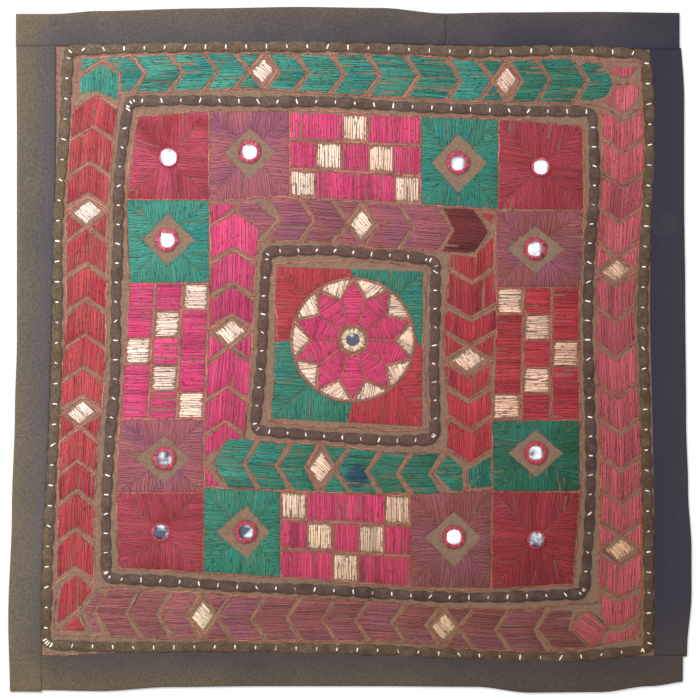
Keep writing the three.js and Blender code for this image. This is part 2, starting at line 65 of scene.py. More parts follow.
bpy.ops.object.light_add(type="AREA", location=(0, 0, 3.6))
overhead = bpy.context.object
overhead.name = "lamp_overhead"
overhead.data.size = 2.4
overhead.data.energy = 30

world = bpy.data.worlds.new("pale_surround")
bpy.context.scene.world = world
world.use_nodes = True
world.node_tree.nodes["Background"].inputs["Color"].default_value = (1.0, 1.0, 1.0, 1)
world.node_tree.nodes["Background"].inputs["Strength"].default_value = 0.62
bpy.context.scene.view_settings.view_transform = "Standard"


def colour(red, green, blue):
    """A colour given as it looks on a screen, 0 to 255, as the linear colour that a shader takes."""
    shares = [value / 255 for value in (red, green, blue)]
    return [s / 12.92 if s <= 0.04045 else ((s + 0.055) / 1.055) ** 2.4 for s in shares] + [1.0]


class Value:
    """A socket's number in a finish. Sums on it add Math nodes to that finish."""

    def __init__(self, finish, socket):
        self.finish = finish
        self.socket = socket

    def sum(self, operation, first, second):
        return self.finish.node("ShaderNodeMath", {"operation": operation}, {0: first, 1: second})

    def __add__(self, other):
        return self.sum("ADD", self, other)

    def __radd__(self, other):
        return self.sum("ADD", other, self)

    def __sub__(self, other):
        return self.sum("SUBTRACT", self, other)

    def __rsub__(self, other):
        return self.sum("SUBTRACT", other, self)

    def __mul__(self, other):
        return self.sum("MULTIPLY", self, other)

    def __rmul__(self, other):
        return self.sum("MULTIPLY", other, self)

    def sine(self):
        return self.finish.node("ShaderNodeMath", {"operation": "SINE"}, {0: self})

    def kept_in(self, low=0.0, high=1.0):
        return self.finish.node("ShaderNodeClamp", {}, {"Value": self, "Min": low, "Max": high})


class Finish:
    """One material, made node by node."""

    def __init__(self, name):
        self.material = bpy.data.materials.new(name)
        self.material.use_nodes = True
        self.tree = self.material.node_tree
        self.tree.nodes.clear()

    def node(self, kind, settings, inputs, output=0):
        made = self.tree.nodes.new(kind)
        for name, value in settings.items():
            setattr(made, name, value)
        for name, value in inputs.items():
            if isinstance(value, Value):
                self.tree.links.new(value.socket, made.inputs[name])
            else:
                made.inputs[name].default_value = value
        return Value(self, made.outputs[output])

    def place(self):
        """Where a point of the surface is, in metres, as x and y."""
        spot = self.node("ShaderNodeTexCoord", {}, {}, output="Object")
        return [self.node("ShaderNodeSeparateXYZ", {}, {"Vector": spot}, output=axis) for axis in "XY"]

    def blend(self, share, first, second, way="MIX"):
        settings = {"data_type": "RGBA", "blend_type": way}
        return self.node("ShaderNodeMix", settings, {0: share, 6: first, 7: second}, output=2)

    def noise(self, scale, detail=2.0):
        spot = self.node("ShaderNodeTexCoord", {}, {}, output="Object")
        return self.node("ShaderNodeTexNoise", {}, {"Vector": spot, "Scale": scale, "Detail": detail})

    def bump(self, height, depth):
        inputs = {"Height": height, "Distance": depth, "Strength": 1.0}
        return self.node("ShaderNodeBump", {}, inputs)

    def surface(self, **sockets):
        named = {name.replace("_", " "): value for name, value in sockets.items()}
        shader = self.node("ShaderNodeBsdfPrincipled", {}, named)
        output = self.tree.nodes.new("ShaderNodeOutputMaterial")
        self.tree.links.new(shader.socket, output.inputs["Surface"])
        return self.material


floor_finish = Finish("floor_pale")
floor_finish.surface(Base_Color=colour(247, 247, 247), Roughness=0.9)
bpy.ops.mesh.primitive_plane_add(size=FLOOR_SIZE, location=(0, 0, -FLOOR_DROP))
floor = bpy.context.object
floor.name = "floor"
floor.data.materials.append(floor_finish.material)

# The ground: one square of brown plain-weave cotton, uneven at its sides, worked all over. It lies flat and
# puckers a little between the lines of stitching. Plan places from here on are in millimetres.
MM = 0.001
CLOTH = 1.2
PUCKER = 0.28
GROUND_STEPS = 110
GROUND_LAP = 2.5
TOP, RIGHT, BOTTOM, LEFT = range(4)

# The way that each side runs, clockwise, and the way out from it.
SIDES = (((1, 0), (0, 1)), ((0, -1), (1, 0)), ((-1, 0), (0, -1)), ((0, 1), (-1, 0)))

# Hand-drawn square rings: corners clockwise from the upper left, and how far each side bows outwards at even
# steps between its corners, in the order top, right, bottom, left.
RINGS = {
    "panel_edge": (
        ((-177, 183), (180.6, 181.2), (183, -184), (-185.8, -183.9)),
        ((1.3, 2.1, 2.6, 2.3, 1.5, 0.8), (1.5, 0.2, -0.9, -0.1, 0.6, 0.5),
         (3, 1.8, -1, -2.3, -2.1, -1.9), (0.8, -0.5, -1.2, -1.3, -1.4, -1.2))),
    "outer_cord": (
        ((-169, 180), (177.8, 177.8), (179, -180), (-182.6, -176.8)),
        ((1.6, 2.5, 2.9, 1.7, 0.2, 1.7), (1.9, -0.5, -3, -1.6, -0.6, 0.3),
         (4.9, 4, 1.6, 0.9, 0.3, 1.1), (0.8, 0.3, -0.3, 0.8, 2.2, 0.5))),
    "band_out": (
        ((-163, 174.8), (174, 173.4), (173.5, -172.5), (-177.8, -170.4)),
        ((2.6, 4, 3.3, 3.6, -0.1, 1.6), (2.7, 0.5, -3.4, -1.1, 0.9, 1.5),
         (8.6, 7.3, 3.1, 3.3, 2.8, 1.6), (-0.1, 1.1, 1.6, 0.9, 2.9, 2.8))),
    "band_in": (
        ((-138.6, 154.2), (150.8, 146.8), (148.8, -151.6), (-153.6, -142)),
        ((2.1, 4.5, 2.8, 1.7, 0.5, 0.7), (0.6, -2.3, -2.7, -1.4, 0.8, 0.5),
         (4.7, 5.7, 3.6, 2.1, 2.6, 1), (2.1, 1.9, -0.1, 1.1, 2.5, 2.3))),
    "middle_cord": (
        ((-133, 149.3), (145.6, 143), (140.6, -146.4), (-146.4, -137)),
        ((1.3, 1.4, 2.2, 0.7, -0.2, -0.6), (1.8, -0.4, -1, 0.6, 2.4, 2.1),
         (2.8, 4.5, 3.4, 2.5, 2.4, 0.5), (1.8, 1.6, 0.2, 1.7, 2.3, 3.2))),
    "field_out": (
        ((-127.4, 140.2), (139.6, 134.4), (134, -140.6), (-139, -131)),
        ((4, 4.9, 5.7, 4, 3.7, 2.6), (1.9, 0.9, 0.1, 1.1, 3.3, 2.6),
         (3.8, 6.1, 4.2, 2.8, 1.8, 0.6), (2.8, 3.2, 1.6, 0.5, 2.6, 4.9))),
    "field_in": (
        ((-84.2, 88.8), (87.6, 84.2), (85.4, -83.4), (-87.4, -82.4)),
        ((3.9, 3.1, 1.9, 1.2), (-0.2, 1.8, -2, -0.6),
         (3.5, 3.2, 2.4, 1.1), (0.6, -0.1, -0.9, -1.1))),
    "inner_band_in": (
        ((-55, 65.5), (59.8, 58.4), (58.4, -61.2), (-63.4, -53.2)),
        ((1, 1.6, -0.2, 0.3), (-1.5, -3.5, -2, -0.1),
         (2.1, 1.3, 0.1, 0.4), (-0.6, -0.9, -0.3, 0.4))),
    "inner_cord": (
        ((-49.8, 59.3), (51.4, 53.8), (50.8, -53.6), (-57.2, -48.2)),
        ((1.5, 2.5, 1.5, 1.4), (-0.2, -0.2, -0.9, 0.1),
         (1.8, 1.9, 1.4, 0.7), (-0.6, -1.1, -0.5, 0))),
    "middle_out": (
        ((-45.2, 51.7), (45.4, 48.6), (44.8, -47.6), (-48.8, -42.4)),
        ((1.6, 3.1, 3.4, 2.5), (0.2, -1.3, -0.6, 0.6),
         (1.9, 0.8, 2.1, 1.6), (-1.5, -2.9, -3.1, -0.5))),
}


def plan(side, along, out):
    """The plan point of a place on a side."""
    (run_x, run_y), (out_x, out_y) = SIDES[side]
    return along * run_x + out * out_x, along * run_y + out * out_y


def side_ends(ring, side):
    """Both ends of a ring's side, each as (along, out)."""
    run, out = SIDES[side]
    corners = RINGS[ring][0]
    ends = (corners[side], corners[(side + 1) % 4])
    return [(x * run[0] + y * run[1], x * out[0] + y * out[1]) for x, y in ends]


def ring_out(ring, side, along):
    """How far out a ring lies on a side, at a distance along it."""
    (start, start_out), (end, end_out) = side_ends(ring, side)
    share = (along - start) / (end - start)
    bows = (0, *RINGS[ring][1][side], 0)
    place = min(max(share, 0), 1) * (len(bows) - 1)
    step = min(int(place), len(bows) - 2)
    rest = place - step
    before, here, ahead, after = (bows[min(max(step + k, 0), len(bows) - 1)] for k in (-1, 0, 1, 2))
    bow = here + 0.5 * rest * (
        ahead - before + rest * (2 * before - 5 * here + 4 * ahead - after)
        + rest * rest * (3 * here - before - 3 * ahead + after)
    )
    return start_out + (end_out - start_out) * share + bow


def ring_point(ring, side, share):
    """A point of a ring by the share of a side's length."""
    (start, _), (end, _) = side_ends(ring, side)
    along = start + (end - start) * share
    return plan(side, along, ring_out(ring, side, along))


def pucker(x, y):
    """How far the cloth stands off the floor, in mm."""
    ripple = np.sin(x / 6.1 + 1.4 * np.sin(y / 19)) * np.sin(y / 7.3 + 1.2 * np.sin(x / 23))
    return PUCKER * (0.5 + 0.5 * ripple)


def cloth_top(x, y):
    """Height of the cotton's upper face, in mm."""
    return CLOTH - PUCKER + pucker(x, y)


ground_finish = Finish("brown_cotton")
x, y = ground_finish.place()
# Painted light: the cotton is lighter towards the upper left, where the lamp falls.
painted_light = (0.5 - 1.3 * x + 0.9 * y).kept_in()
weave = (x * 5200).sine() * (y * 5200).sine()
slub = ground_finish.noise(620.0, 4.0)
cotton = ground_finish.blend(painted_light, colour(116, 90, 70), colour(172, 140, 120))
cotton = ground_finish.blend((1.7 * slub - 0.6 + 0.12 * weave).kept_in(), cotton, colour(100, 76, 58))
ground_finish.surface(
    Base_Color=cotton, Roughness=0.92,
    Normal=ground_finish.bump(weave * 0.6 + slub, 0.00018),
)

bpy.ops.object.select_all(action="DESELECT")
bpy.ops.mesh.primitive_grid_add(x_subdivisions=GROUND_STEPS, y_subdivisions=GROUND_STEPS, size=1)
ground = bpy.context.object
ground.name = "ground_cloth"
for vertex in ground.data.vertices:
    u, v = vertex.co.x + 0.5, 0.5 - vertex.co.y
    top, right, bottom, left = (
        np.array(ring_point("panel_edge", side, share))
        for side, share in ((TOP, u), (RIGHT, v), (BOTTOM, 1 - u), (LEFT, 1 - v))
    )
    px = left[0] * (1 - u) + right[0] * u + GROUND_LAP * (2 * u - 1)
    py = top[1] * (1 - v) + bottom[1] * v + GROUND_LAP * (1 - 2 * v)
    vertex.co = (px * MM, py * MM, cloth_top(px, py) * MM)
thickness = ground.modifiers.new("thickness", "SOLIDIFY")
thickness.thickness = (CLOTH - PUCKER) * MM
thickness.offset = -1
bpy.ops.object.modifier_apply(modifier="thickness")
bpy.ops.object.shade_smooth_by_angle(angle=math.radians(60))
ground.data.materials.append(ground_finish.material)
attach(ground, "root")
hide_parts("ground_panel")

# The border: five strips of grey-blue twill, folded at the outer edge and turned in at the seam, where they
# are thickest. The top strip is pieced. The folds have faded to grey-olive.
# The folded edge of each side is given by places on it: how far along the side, and how far out.
HEM = (
    ((-204, 201.6), (-177.6, 201.6), (-150, 203.4), (-90, 204.9), (-30, 205.8), (18, 205.2), (57, 201.9),
     (90, 202.5), (150, 202.8), (204, 202.2)),
    ((-204, 197.4), (-150, 200.4), (-90, 200.4), (-36, 201), (42, 201.6), (84, 202.8), (120, 204.8),
     (146, 204.8), (180, 202.2), (204, 199.8)),
    ((-204, 198.6), (-180, 201.6), (-150, 205.2), (-108, 205.5), (-75, 202), (-12, 201.6), (54, 201.6),
     (108, 202.2), (150, 204.6), (186, 204), (206, 204.9)),
    ((-206, 204), (-162, 205), (-96, 202.8), (-36, 201), (6, 199.8), (126, 199.8), (206, 200.4)),
)
STRIPS = (  # name, node, side, start and end along it, finished width and length in metres
    ("strip_top_left", "border_top_left", TOP, -200.4, 57.5, (0.020, 0.258)),
    ("strip_top_right", "border_top_right", TOP, 57.7, 197.6, (0.020, 0.140)),
    ("strip_right", "border_right", RIGHT, -181.1, 183.8, (0.020, 0.365)),
    ("strip_bottom", "border_bottom", BOTTOM, -199.6, 185.6, (0.019, 0.385)),
    ("strip_left", "border_left", LEFT, -204.9, 183.1, (0.021, 0.388)),
)
# The strip's section from the seam round the fold and back: share of the width, offset in mm, and height.
STRIP_SECTION = (
    (0, 0.3, 1.25), (0, -0.7, 1.3), (0, -0.8, 1.65), (0, -0.2, 1.95), (0, 1.2, 2.0), (0, 3.4, 1.72),
    (0.4, 0, 1.5), (0.7, 0, 1.45), (1, -2.6, 1.5), (1, -1, 1.4), (1, -0.25, 1.1), (1, 0, 0.7), (1, -0.3, 0.3),
    (1, -1.2, 0.02), (0.5, 0, 0.0), (0, 1.6, 0.0), (0, 0.5, 0.1), (0, 0.35, 0.8),
)
STRIP_STEP = 2.0
STRIP_END = ((0.0, 0.55), (0.5, 0.85), (1.4, 1.0))    # distance from a strip's end, and share of its height
STRIP_UPPER = 1.3       # the section's points above this height are its upper face, which ripples
STRIP_RIPPLE = 0.12


def hem_out(side, along):
    """How far out the folded edge lies, eased between the places in the table."""
    places = HEM[side]
    for (a, out_a), (b, out_b) in zip(places, places[1:]):
        if along <= b:
            break
    share = min(max((along - a) / (b - a), 0), 1)
    return out_a + (out_b - out_a) * (share * share * (3 - 2 * share))


def seam_out(side, along):
    """How far out the seam lies. Past the cloth's corner it runs straight on."""
    (start, _), (end, _) = side_ends("panel_edge", side)
    return ring_out("panel_edge", side, min(max(along, start), end))


def add_piece(name, points, faces, material):
    """A smooth mesh object from points in millimetres."""
    mesh = bpy.data.meshes.new(name)
    mesh.from_pydata((np.asarray(points, float) * MM).tolist(), [], faces)
    mesh.materials.append(material)
    mesh.polygons.foreach_set("use_smooth", [True] * len(mesh.polygons))
    piece = bpy.data.objects.new(name, mesh)
    bpy.context.scene.collection.objects.link(piece)
    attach(piece, "root")
    return piece


twill_finish = Finish("border_twill")
x, y = twill_finish.place()
rib = ((x + y) * 7000).sine()
haze = twill_finish.noise(22.0, 3.0)
fleck = twill_finish.noise(1100.0, 4.0)
# Painted light: the twill is lighter towards the left, in hazy patches, where the lamp falls; the worn folds
# lighten mostly there too.
painted_light = (0.40 - 2.3 * x + 0.25 * y + 0.6 * (haze - 0.5)).kept_in()
fold_x = ((x * x) * 40.0 - 1.26).kept_in()
fold_y = ((y * y) * 40.0 - 1.34).kept_in()
worn = ((fold_x + fold_y) * 2.6 + 0.3 * (haze - 0.5)).kept_in()
low = (-14 * y - 2.1).kept_in(0.0, 0.8)
twill = twill_finish.blend(painted_light, colour(54, 52, 68), colour(112, 107, 108))
twill = twill_finish.blend(low, twill, colour(92, 76, 58))
twill = twill_finish.blend(worn * (0.06 + 0.75 * painted_light), twill, colour(146, 128, 96))
twill = twill_finish.blend((1.5 * fleck - 0.5 + 0.16 * rib).kept_in(), twill, colour(46, 42, 50))
twill_finish.surface(
    Base_Color=twill, Roughness=0.95, Specular_IOR_Level=0.3,
    Normal=twill_finish.bump(rib * 0.5 + fleck, 0.0002),
)

for name, node, side, start, end, flat in STRIPS:
    inner = [start + d for d, _ in STRIP_END]
    outer = [end - d for d, _ in reversed(STRIP_END)]
    middle = np.linspace(inner[-1], outer[0], max(3, round((end - start) / STRIP_STEP)))[1:-1]
    places = [*inner, *middle, *outer]
    heights = [h for _, h in STRIP_END] + [1.0] * len(middle) + [h for _, h in reversed(STRIP_END)]
    points = []
    for along, height in zip(places, heights):
        seam, hem = seam_out(side, along), hem_out(side, along)
        for share, offset, up in STRIP_SECTION:
            out = seam + (hem - seam) * share + offset
            px, py = plan(side, along, out)
            ripple = STRIP_RIPPLE * math.sin(along / 9.0 + 2 * math.sin(along / 31)) * (1 - share)
            points.append((px, py, up * height + (ripple if up > STRIP_UPPER else 0)))
    ring = len(STRIP_SECTION)
    faces = [
        (row * ring + k, row * ring + (k + 1) % ring, (row + 1) * ring + (k + 1) % ring, (row + 1) * ring + k)
        for row in range(len(places) - 1) for k in range(ring)
    ]
    faces.append(tuple(reversed(range(ring))))
    faces.append(tuple(range((len(places) - 1) * ring, len(places) * ring)))
    strip = add_piece(name, points, faces, twill_finish.material)
    bpy.ops.object.select_all(action="DESELECT")
    strip.select_set(True)
    bpy.context.view_layer.objects.active = strip
    bpy.ops.object.mode_set(mode="EDIT")
    bpy.ops.mesh.select_all(action="SELECT")
    bpy.ops.mesh.normals_make_consistent(inside=False)
    bpy.ops.object.mode_set(mode="OBJECT")
    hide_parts(node)

# The padded cords: three rings of brown yarn wrapped in a tube of cloth and laid square on the ground. They
# puff between the white ties that hold them down, and are drawn in at each tie.
CORDS = (  # name, node, ring, number of ties, deep colour, and the lighter colour that painted light gives it towards the upper left
    ("padded_cord_outer", "cord_outer", "outer_cord", 116, colour(82, 62, 44), colour(128, 110, 90)),
    ("padded_cord_middle", "cord_middle", "middle_cord", 98, colour(72, 50, 45), colour(124, 102, 92)),
    ("padded_cord_inner", "cord_inner", "inner_cord", 38, colour(82, 60, 54), colour(122, 94, 86)),
)
PUFF_HALF, WAIST_HALF = 3.2, 2.25
PUFF_HEIGHT, WAIST_HEIGHT = 1.8, 1.2
CORD_ROUND = 5.0
CORNER_STEPS, SIDE_STEPS = 7, 60
CORD_SIDES = 12
CORD_STEPS = 8          # from tie to tie
CORD_WIDEST = 0.42      # how high up a cord is widest, as a share of its height
PUFF_FULLNESS = 0.55    # the lower, the sooner a puff swells after its tie


def cord_path(ring):
    """A ring's middle line with round corners, at short steps, as plan points."""
    points = []
    for side in range(4):
        corner = np.array(RINGS[ring][0][side], float)
        before = corner - CORD_ROUND * np.array(SIDES[side - 1][0])
        after = corner + CORD_ROUND * np.array(SIDES[side][0])
        for t in np.linspace(0, 1, CORNER_STEPS):
            points.append(before * (1 - t) ** 2 + corner * 2 * t * (1 - t) + after * t * t)
        (start, _), (end, _) = side_ends(ring, side)
        for along in np.linspace(start + CORD_ROUND, end - CORD_ROUND, SIDE_STEPS)[1:-1]:
            points.append(np.array(plan(side, along, ring_out(ring, side, along))))
    return np.array(points)


def spaced(path, count, closed=True):
    """Points at even steps along a path, and the way it runs at each."""
    if closed:
        path = np.vstack([path, path[:1]])
    steps = np.linalg.norm(np.diff(path, axis=0), axis=1)
    travelled = np.concatenate([[0], np.cumsum(steps)])
    wanted = np.linspace(0, travelled[-1], count, endpoint=not closed)
    places = np.stack([np.interp(wanted, travelled, path[:, k]) for k in (0, 1)], axis=1)
    if closed:
        runs = np.roll(places, -1, axis=0) - np.roll(places, 1, axis=0)
    else:
        runs = np.gradient(places, axis=0)
    return places, runs / np.linalg.norm(runs, axis=1)[:, None]


def cord_finish(name, deep, pale):
    """Old yarn cloth, blotched, with painted light making it lighter towards the upper left."""
    finish = Finish(name)
    x, y = finish.place()
    fibre = finish.noise(900.0, 4.0)
    patch = finish.noise(200.0, 2.0)
    # Painted light: lighter towards the upper left, where the lamp falls, in blotches.
    painted_light = (0.45 - 1.5 * x + 1.1 * y + 1.3 * (patch - 0.5)).kept_in()
    yarn = finish.blend(painted_light, deep, pale)
    yarn = finish.blend((1.9 * fibre - 0.7).kept_in(), yarn, colour(58, 47, 40))
    return finish.surface(
        Base_Color=yarn, Roughness=0.95, Specular_IOR_Level=0.3,
        Normal=finish.bump(fibre, 0.0004),
    )


tied_places = {}
for name, node, ring, ties, deep, pale in CORDS:
    places, runs = spaced(cord_path(ring), ties * CORD_STEPS)
    beat = np.arange(len(places)) / CORD_STEPS
    swell = np.abs(np.sin(np.pi * beat)) ** PUFF_FULLNESS
    uneven = 1 + 0.07 * np.sin(beat * 1.7) + 0.05 * np.sin(beat * 0.61 + 2)
    halves = (WAIST_HALF + (PUFF_HALF - WAIST_HALF) * swell) * uneven
    rises = (WAIST_HEIGHT + (PUFF_HEIGHT - WAIST_HEIGHT) * swell) * uneven
    angles = np.linspace(0, 2 * np.pi, CORD_SIDES, endpoint=False)
    across, up = np.cos(angles), CORD_WIDEST + (1 - CORD_WIDEST) * np.sin(angles)
    sides = np.stack([runs[:, 1], -runs[:, 0]], axis=1)
    flat_points = places[:, None, :] + sides[:, None, :] * (halves[:, None] * across)[:, :, None]
    base = cloth_top(places[:, 0], places[:, 1])
    heights = base[:, None] + rises[:, None] * np.maximum(up, -0.08)
    points = np.concatenate([flat_points, heights[:, :, None]], axis=2).reshape(-1, 3)
    count = len(places)
    faces = [
        (row * CORD_SIDES + k, ((row + 1) % count) * CORD_SIDES + k,
         ((row + 1) % count) * CORD_SIDES + (k + 1) % CORD_SIDES, row * CORD_SIDES + (k + 1) % CORD_SIDES)
        for row in range(count) for k in range(CORD_SIDES)
    ]
    padded_cord = add_piece(name, points, faces, cord_finish(f"yarn_{ring}", deep, pale))
    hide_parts(node)
    tied_places[ring] = [(places[i], sides[i], base[i] + rises[i]) for i in range(0, count, CORD_STEPS)]

# The embroidery thread: every stitch is a strand of floss of its own, with both ends turned down into the
# cloth. The stitches of one thread are gathered here, and made into one piece when all of them are worked.
SATIN_PITCH = 0.8
SATIN_THICK = 0.62
SLITS = {"green": 0.13}    # share of the stitches that stop short and leave a slit of bare cloth
LEAST_STITCH = 1.4
LEVEL_WANDER, TILT_WANDER = 0.07, 0.16
STRAND_PROUD = 0.42    # how far a strand's middle lies over the cloth, as a share of its thickness
CELL_ROOM = 0.12       # empty share at each side of a strand's cell in the baking map
TWISTS = 5.2           # radians to a millimetre of strand
# Darker and yellower towards the bottom: the darkening is painted shade, away from the lamp at the upper
# left.
LOWER_SHADE_TINT = [0.81, 0.9, 0.67, 1]
IN_SHADE, IN_LIGHT = [0.30, 0.26, 0.26, 1], [1.8, 1.75, 1.75, 1]
chance = np.random.default_rng(23)
sewn = {}


def sew(thread, start, end, width, thick, rise, tone, sway=0.0):
    """One stitch from a point to a point, each x, y and z in mm. rise lifts its middle off the straight line,
    and sway bends it to a side. tone runs from 0 for a dark strand to 1 for a bright one."""
    sewn.setdefault(thread, []).append((*start, *end, width, thick, rise, sway, tone))


def sew_flat(thread, start, end, tone, width=SATIN_PITCH * 1.12, thick=SATIN_THICK, sunk=0.25):
    """One stitch lying on the cloth."""
    low_start, low_end = cloth_top(*start) - sunk, cloth_top(*end) - sunk
    rise = sunk + thick * STRAND_PROUD + chance.uniform(-0.07, 0.1)
    sway = chance.normal(0, 0.12)
    width *= chance.uniform(0.86, 1.1)
    sew(thread, (*start, low_start), (*end, low_end), width, thick, rise, tone, sway)


def satin(thread, outline, angle, shade=0.62, pitch=SATIN_PITCH, ragged=0.25, spread=0.15, missed=0.006,
          over=0.0, slits=None):
    """Side by side stitches over a plan outline, laid along an angle in degrees from +X. Their ends are
    ragged, their shades spread about the one given, and over is how far they reach past the outline. missed
    and slits are the shares of them that are left out and cut short."""
    slits = SLITS.get(thread, 0.03) if slits is None else slits
    turn = math.radians(angle)
    along, across = np.array((math.cos(turn), math.sin(turn))), np.array((-math.sin(turn), math.cos(turn)))
    points = np.array(outline, float)
    u, v = points @ along, points @ across
    low, high = v.min(), v.max()
    count = max(1, round((high - low) / pitch))
    bundle = 0.0
    for i in range(count):
        level = low + (i + 0.5) * (high - low) / count + chance.normal(0, LEVEL_WANDER)
        bundle = bundle * 0.7 + chance.normal(0, spread * 0.4)
        crossings = sorted(
            u[k - 1] + (u[k] - u[k - 1]) * (level - v[k - 1]) / (v[k] - v[k - 1])
            for k in range(len(points)) if (v[k - 1] > level) != (v[k] > level)
        )
        for first, last in zip(crossings[::2], crossings[1::2]):
            first += abs(chance.normal(0, ragged)) - over
            last -= abs(chance.normal(0, ragged)) - over
            if last - first < LEAST_STITCH or chance.random() < missed:
                continue
            if chance.random() < slits:
                cut = (last - first) * chance.uniform(0.3, 0.75)
                first, last = (first + cut, last) if chance.random() < 0.5 else (first, last - cut)
            tilt = chance.normal(0, TILT_WANDER)
            start = along * first + across * (level - tilt)
            end = along * last + across * (level + tilt)
            tone = min(max(shade + bundle + chance.normal(0, spread * 0.5), 0), 1)
            sew_flat(thread, start, end, tone)


def make_stitches(name, thread, material, rings=5):
    """One mesh of all the stitches of a thread. Each is a four-sided strand of so many rings of points, with
    pointed ends. One map runs round and along each strand, and the baking map has a cell for each."""
    rows = np.array(sewn[thread])
    start, end = rows[:, 0:3], rows[:, 3:6]
    width, thick, rise, sway, tone = rows[:, 6:11].T
    run = end - start
    length = np.maximum(np.linalg.norm(run, axis=1), 0.1)
    flat = run[:, :2] / np.maximum(np.linalg.norm(run[:, :2], axis=1), 1e-6)[:, None]
    side = np.stack([-flat[:, 1], flat[:, 0], np.zeros(len(rows))], axis=1)
    tip = np.minimum(0.3, 1.0 / length)
    half = np.full(len(rows), 0.5)
    if rings == 5:
        shares = np.stack([0.4 * tip, tip, half, 1 - tip, 1 - 0.4 * tip], axis=1)
        swell, arch = np.array([0.62, 1, 1, 1, 0.62]), np.array([0.45, 0.95, 1, 0.95, 0.45])
    else:
        shares = np.stack([0.6 * tip, half, 1 - 0.6 * tip], axis=1)
        swell, arch = np.array([0.7, 1, 0.7]), np.array([0.6, 1, 0.6])
    middle = start[:, None, :] + run[:, None, :] * shares[:, :, None]
    middle += side[:, None, :] * (sway[:, None] * 4 * shares * (1 - shares))[:, :, None]
    middle[:, :, 2] += rise[:, None] * arch
    corner_across, corner_up = np.array([-0.5, 0, 0.5, 0]), np.array([0, -0.5, 0, 0.5])
    wide = (width[:, None] * swell)[:, :, None] * corner_across
    points = middle[:, :, None, :] + side[:, None, None, :] * wide[:, :, :, None]
    points[:, :, :, 2] += (thick[:, None] * swell)[:, :, None] * corner_up
    number = len(rows)
    points = points.reshape(number, rings * 4, 3)
    points = np.concatenate([points, start[:, None, :], end[:, None, :]], axis=1)
    quads = [(r * 4 + c, r * 4 + (c + 1) % 4, (r + 1) * 4 + (c + 1) % 4, (r + 1) * 4 + c)
             for r in range(rings - 1) for c in range(4)]
    first, last = rings * 4, rings * 4 + 1
    tips = [(first, (c + 1) % 4, c) for c in range(4)]
    tips += [(last, last - 5 + c, last - 5 + (c + 1) % 4) for c in range(4)]
    offset = (np.arange(number) * (rings * 4 + 2))[:, None, None]
    faces = (np.array(quads) + offset).reshape(-1, 4).tolist()
    faces += (np.array(tips) + offset).reshape(-1, 3).tolist()
    piece = add_piece(name, points.reshape(-1, 3), faces, material)
    mesh = piece.data
    mesh.attributes.new("tone", "FLOAT", "POINT").data.foreach_set("value", np.repeat(tone, rings * 4 + 2))
    share_of = np.append(np.repeat(np.arange(rings), 4), [rings, rings + 1])
    all_shares = np.append(shares, np.stack([np.zeros(number), np.ones(number)], axis=1), axis=1)
    lengths = all_shares * length[:, None]
    quad_v, tip_v = share_of[np.array(quads)], share_of[np.array(tips)]
    quad_u = [(c / 4, (c + 1) / 4, (c + 1) / 4, c / 4) for r in range(rings - 1) for c in range(4)]
    tip_u = [((c + 0.5) / 4, (c + 1) / 4, c / 4) for c in range(4)]
    tip_u += [((c + 0.5) / 4, c / 4, (c + 1) / 4) for c in range(4)]
    columns = math.ceil(math.sqrt(number))
    column, row = np.arange(number) % columns, np.arange(number) // columns
    for map_name in ("thread", "OFBake"):
        corners = []
        for us, vs in ((quad_u, quad_v), (tip_u, tip_v)):
            u = np.broadcast_to(np.array(us), (number, *vs.shape))
            v = lengths[:, vs]
            if map_name == "OFBake":
                u = (column[:, None, None] + CELL_ROOM + (1 - 2 * CELL_ROOM) * u) / columns
                v = (row[:, None, None] + CELL_ROOM + (1 - 2 * CELL_ROOM) * all_shares[:, vs]) / columns
            corners.append(np.stack([u, v], axis=-1).reshape(-1))
        mesh.uv_layers.new(name=map_name).data.foreach_set("uv", np.concatenate(corners))


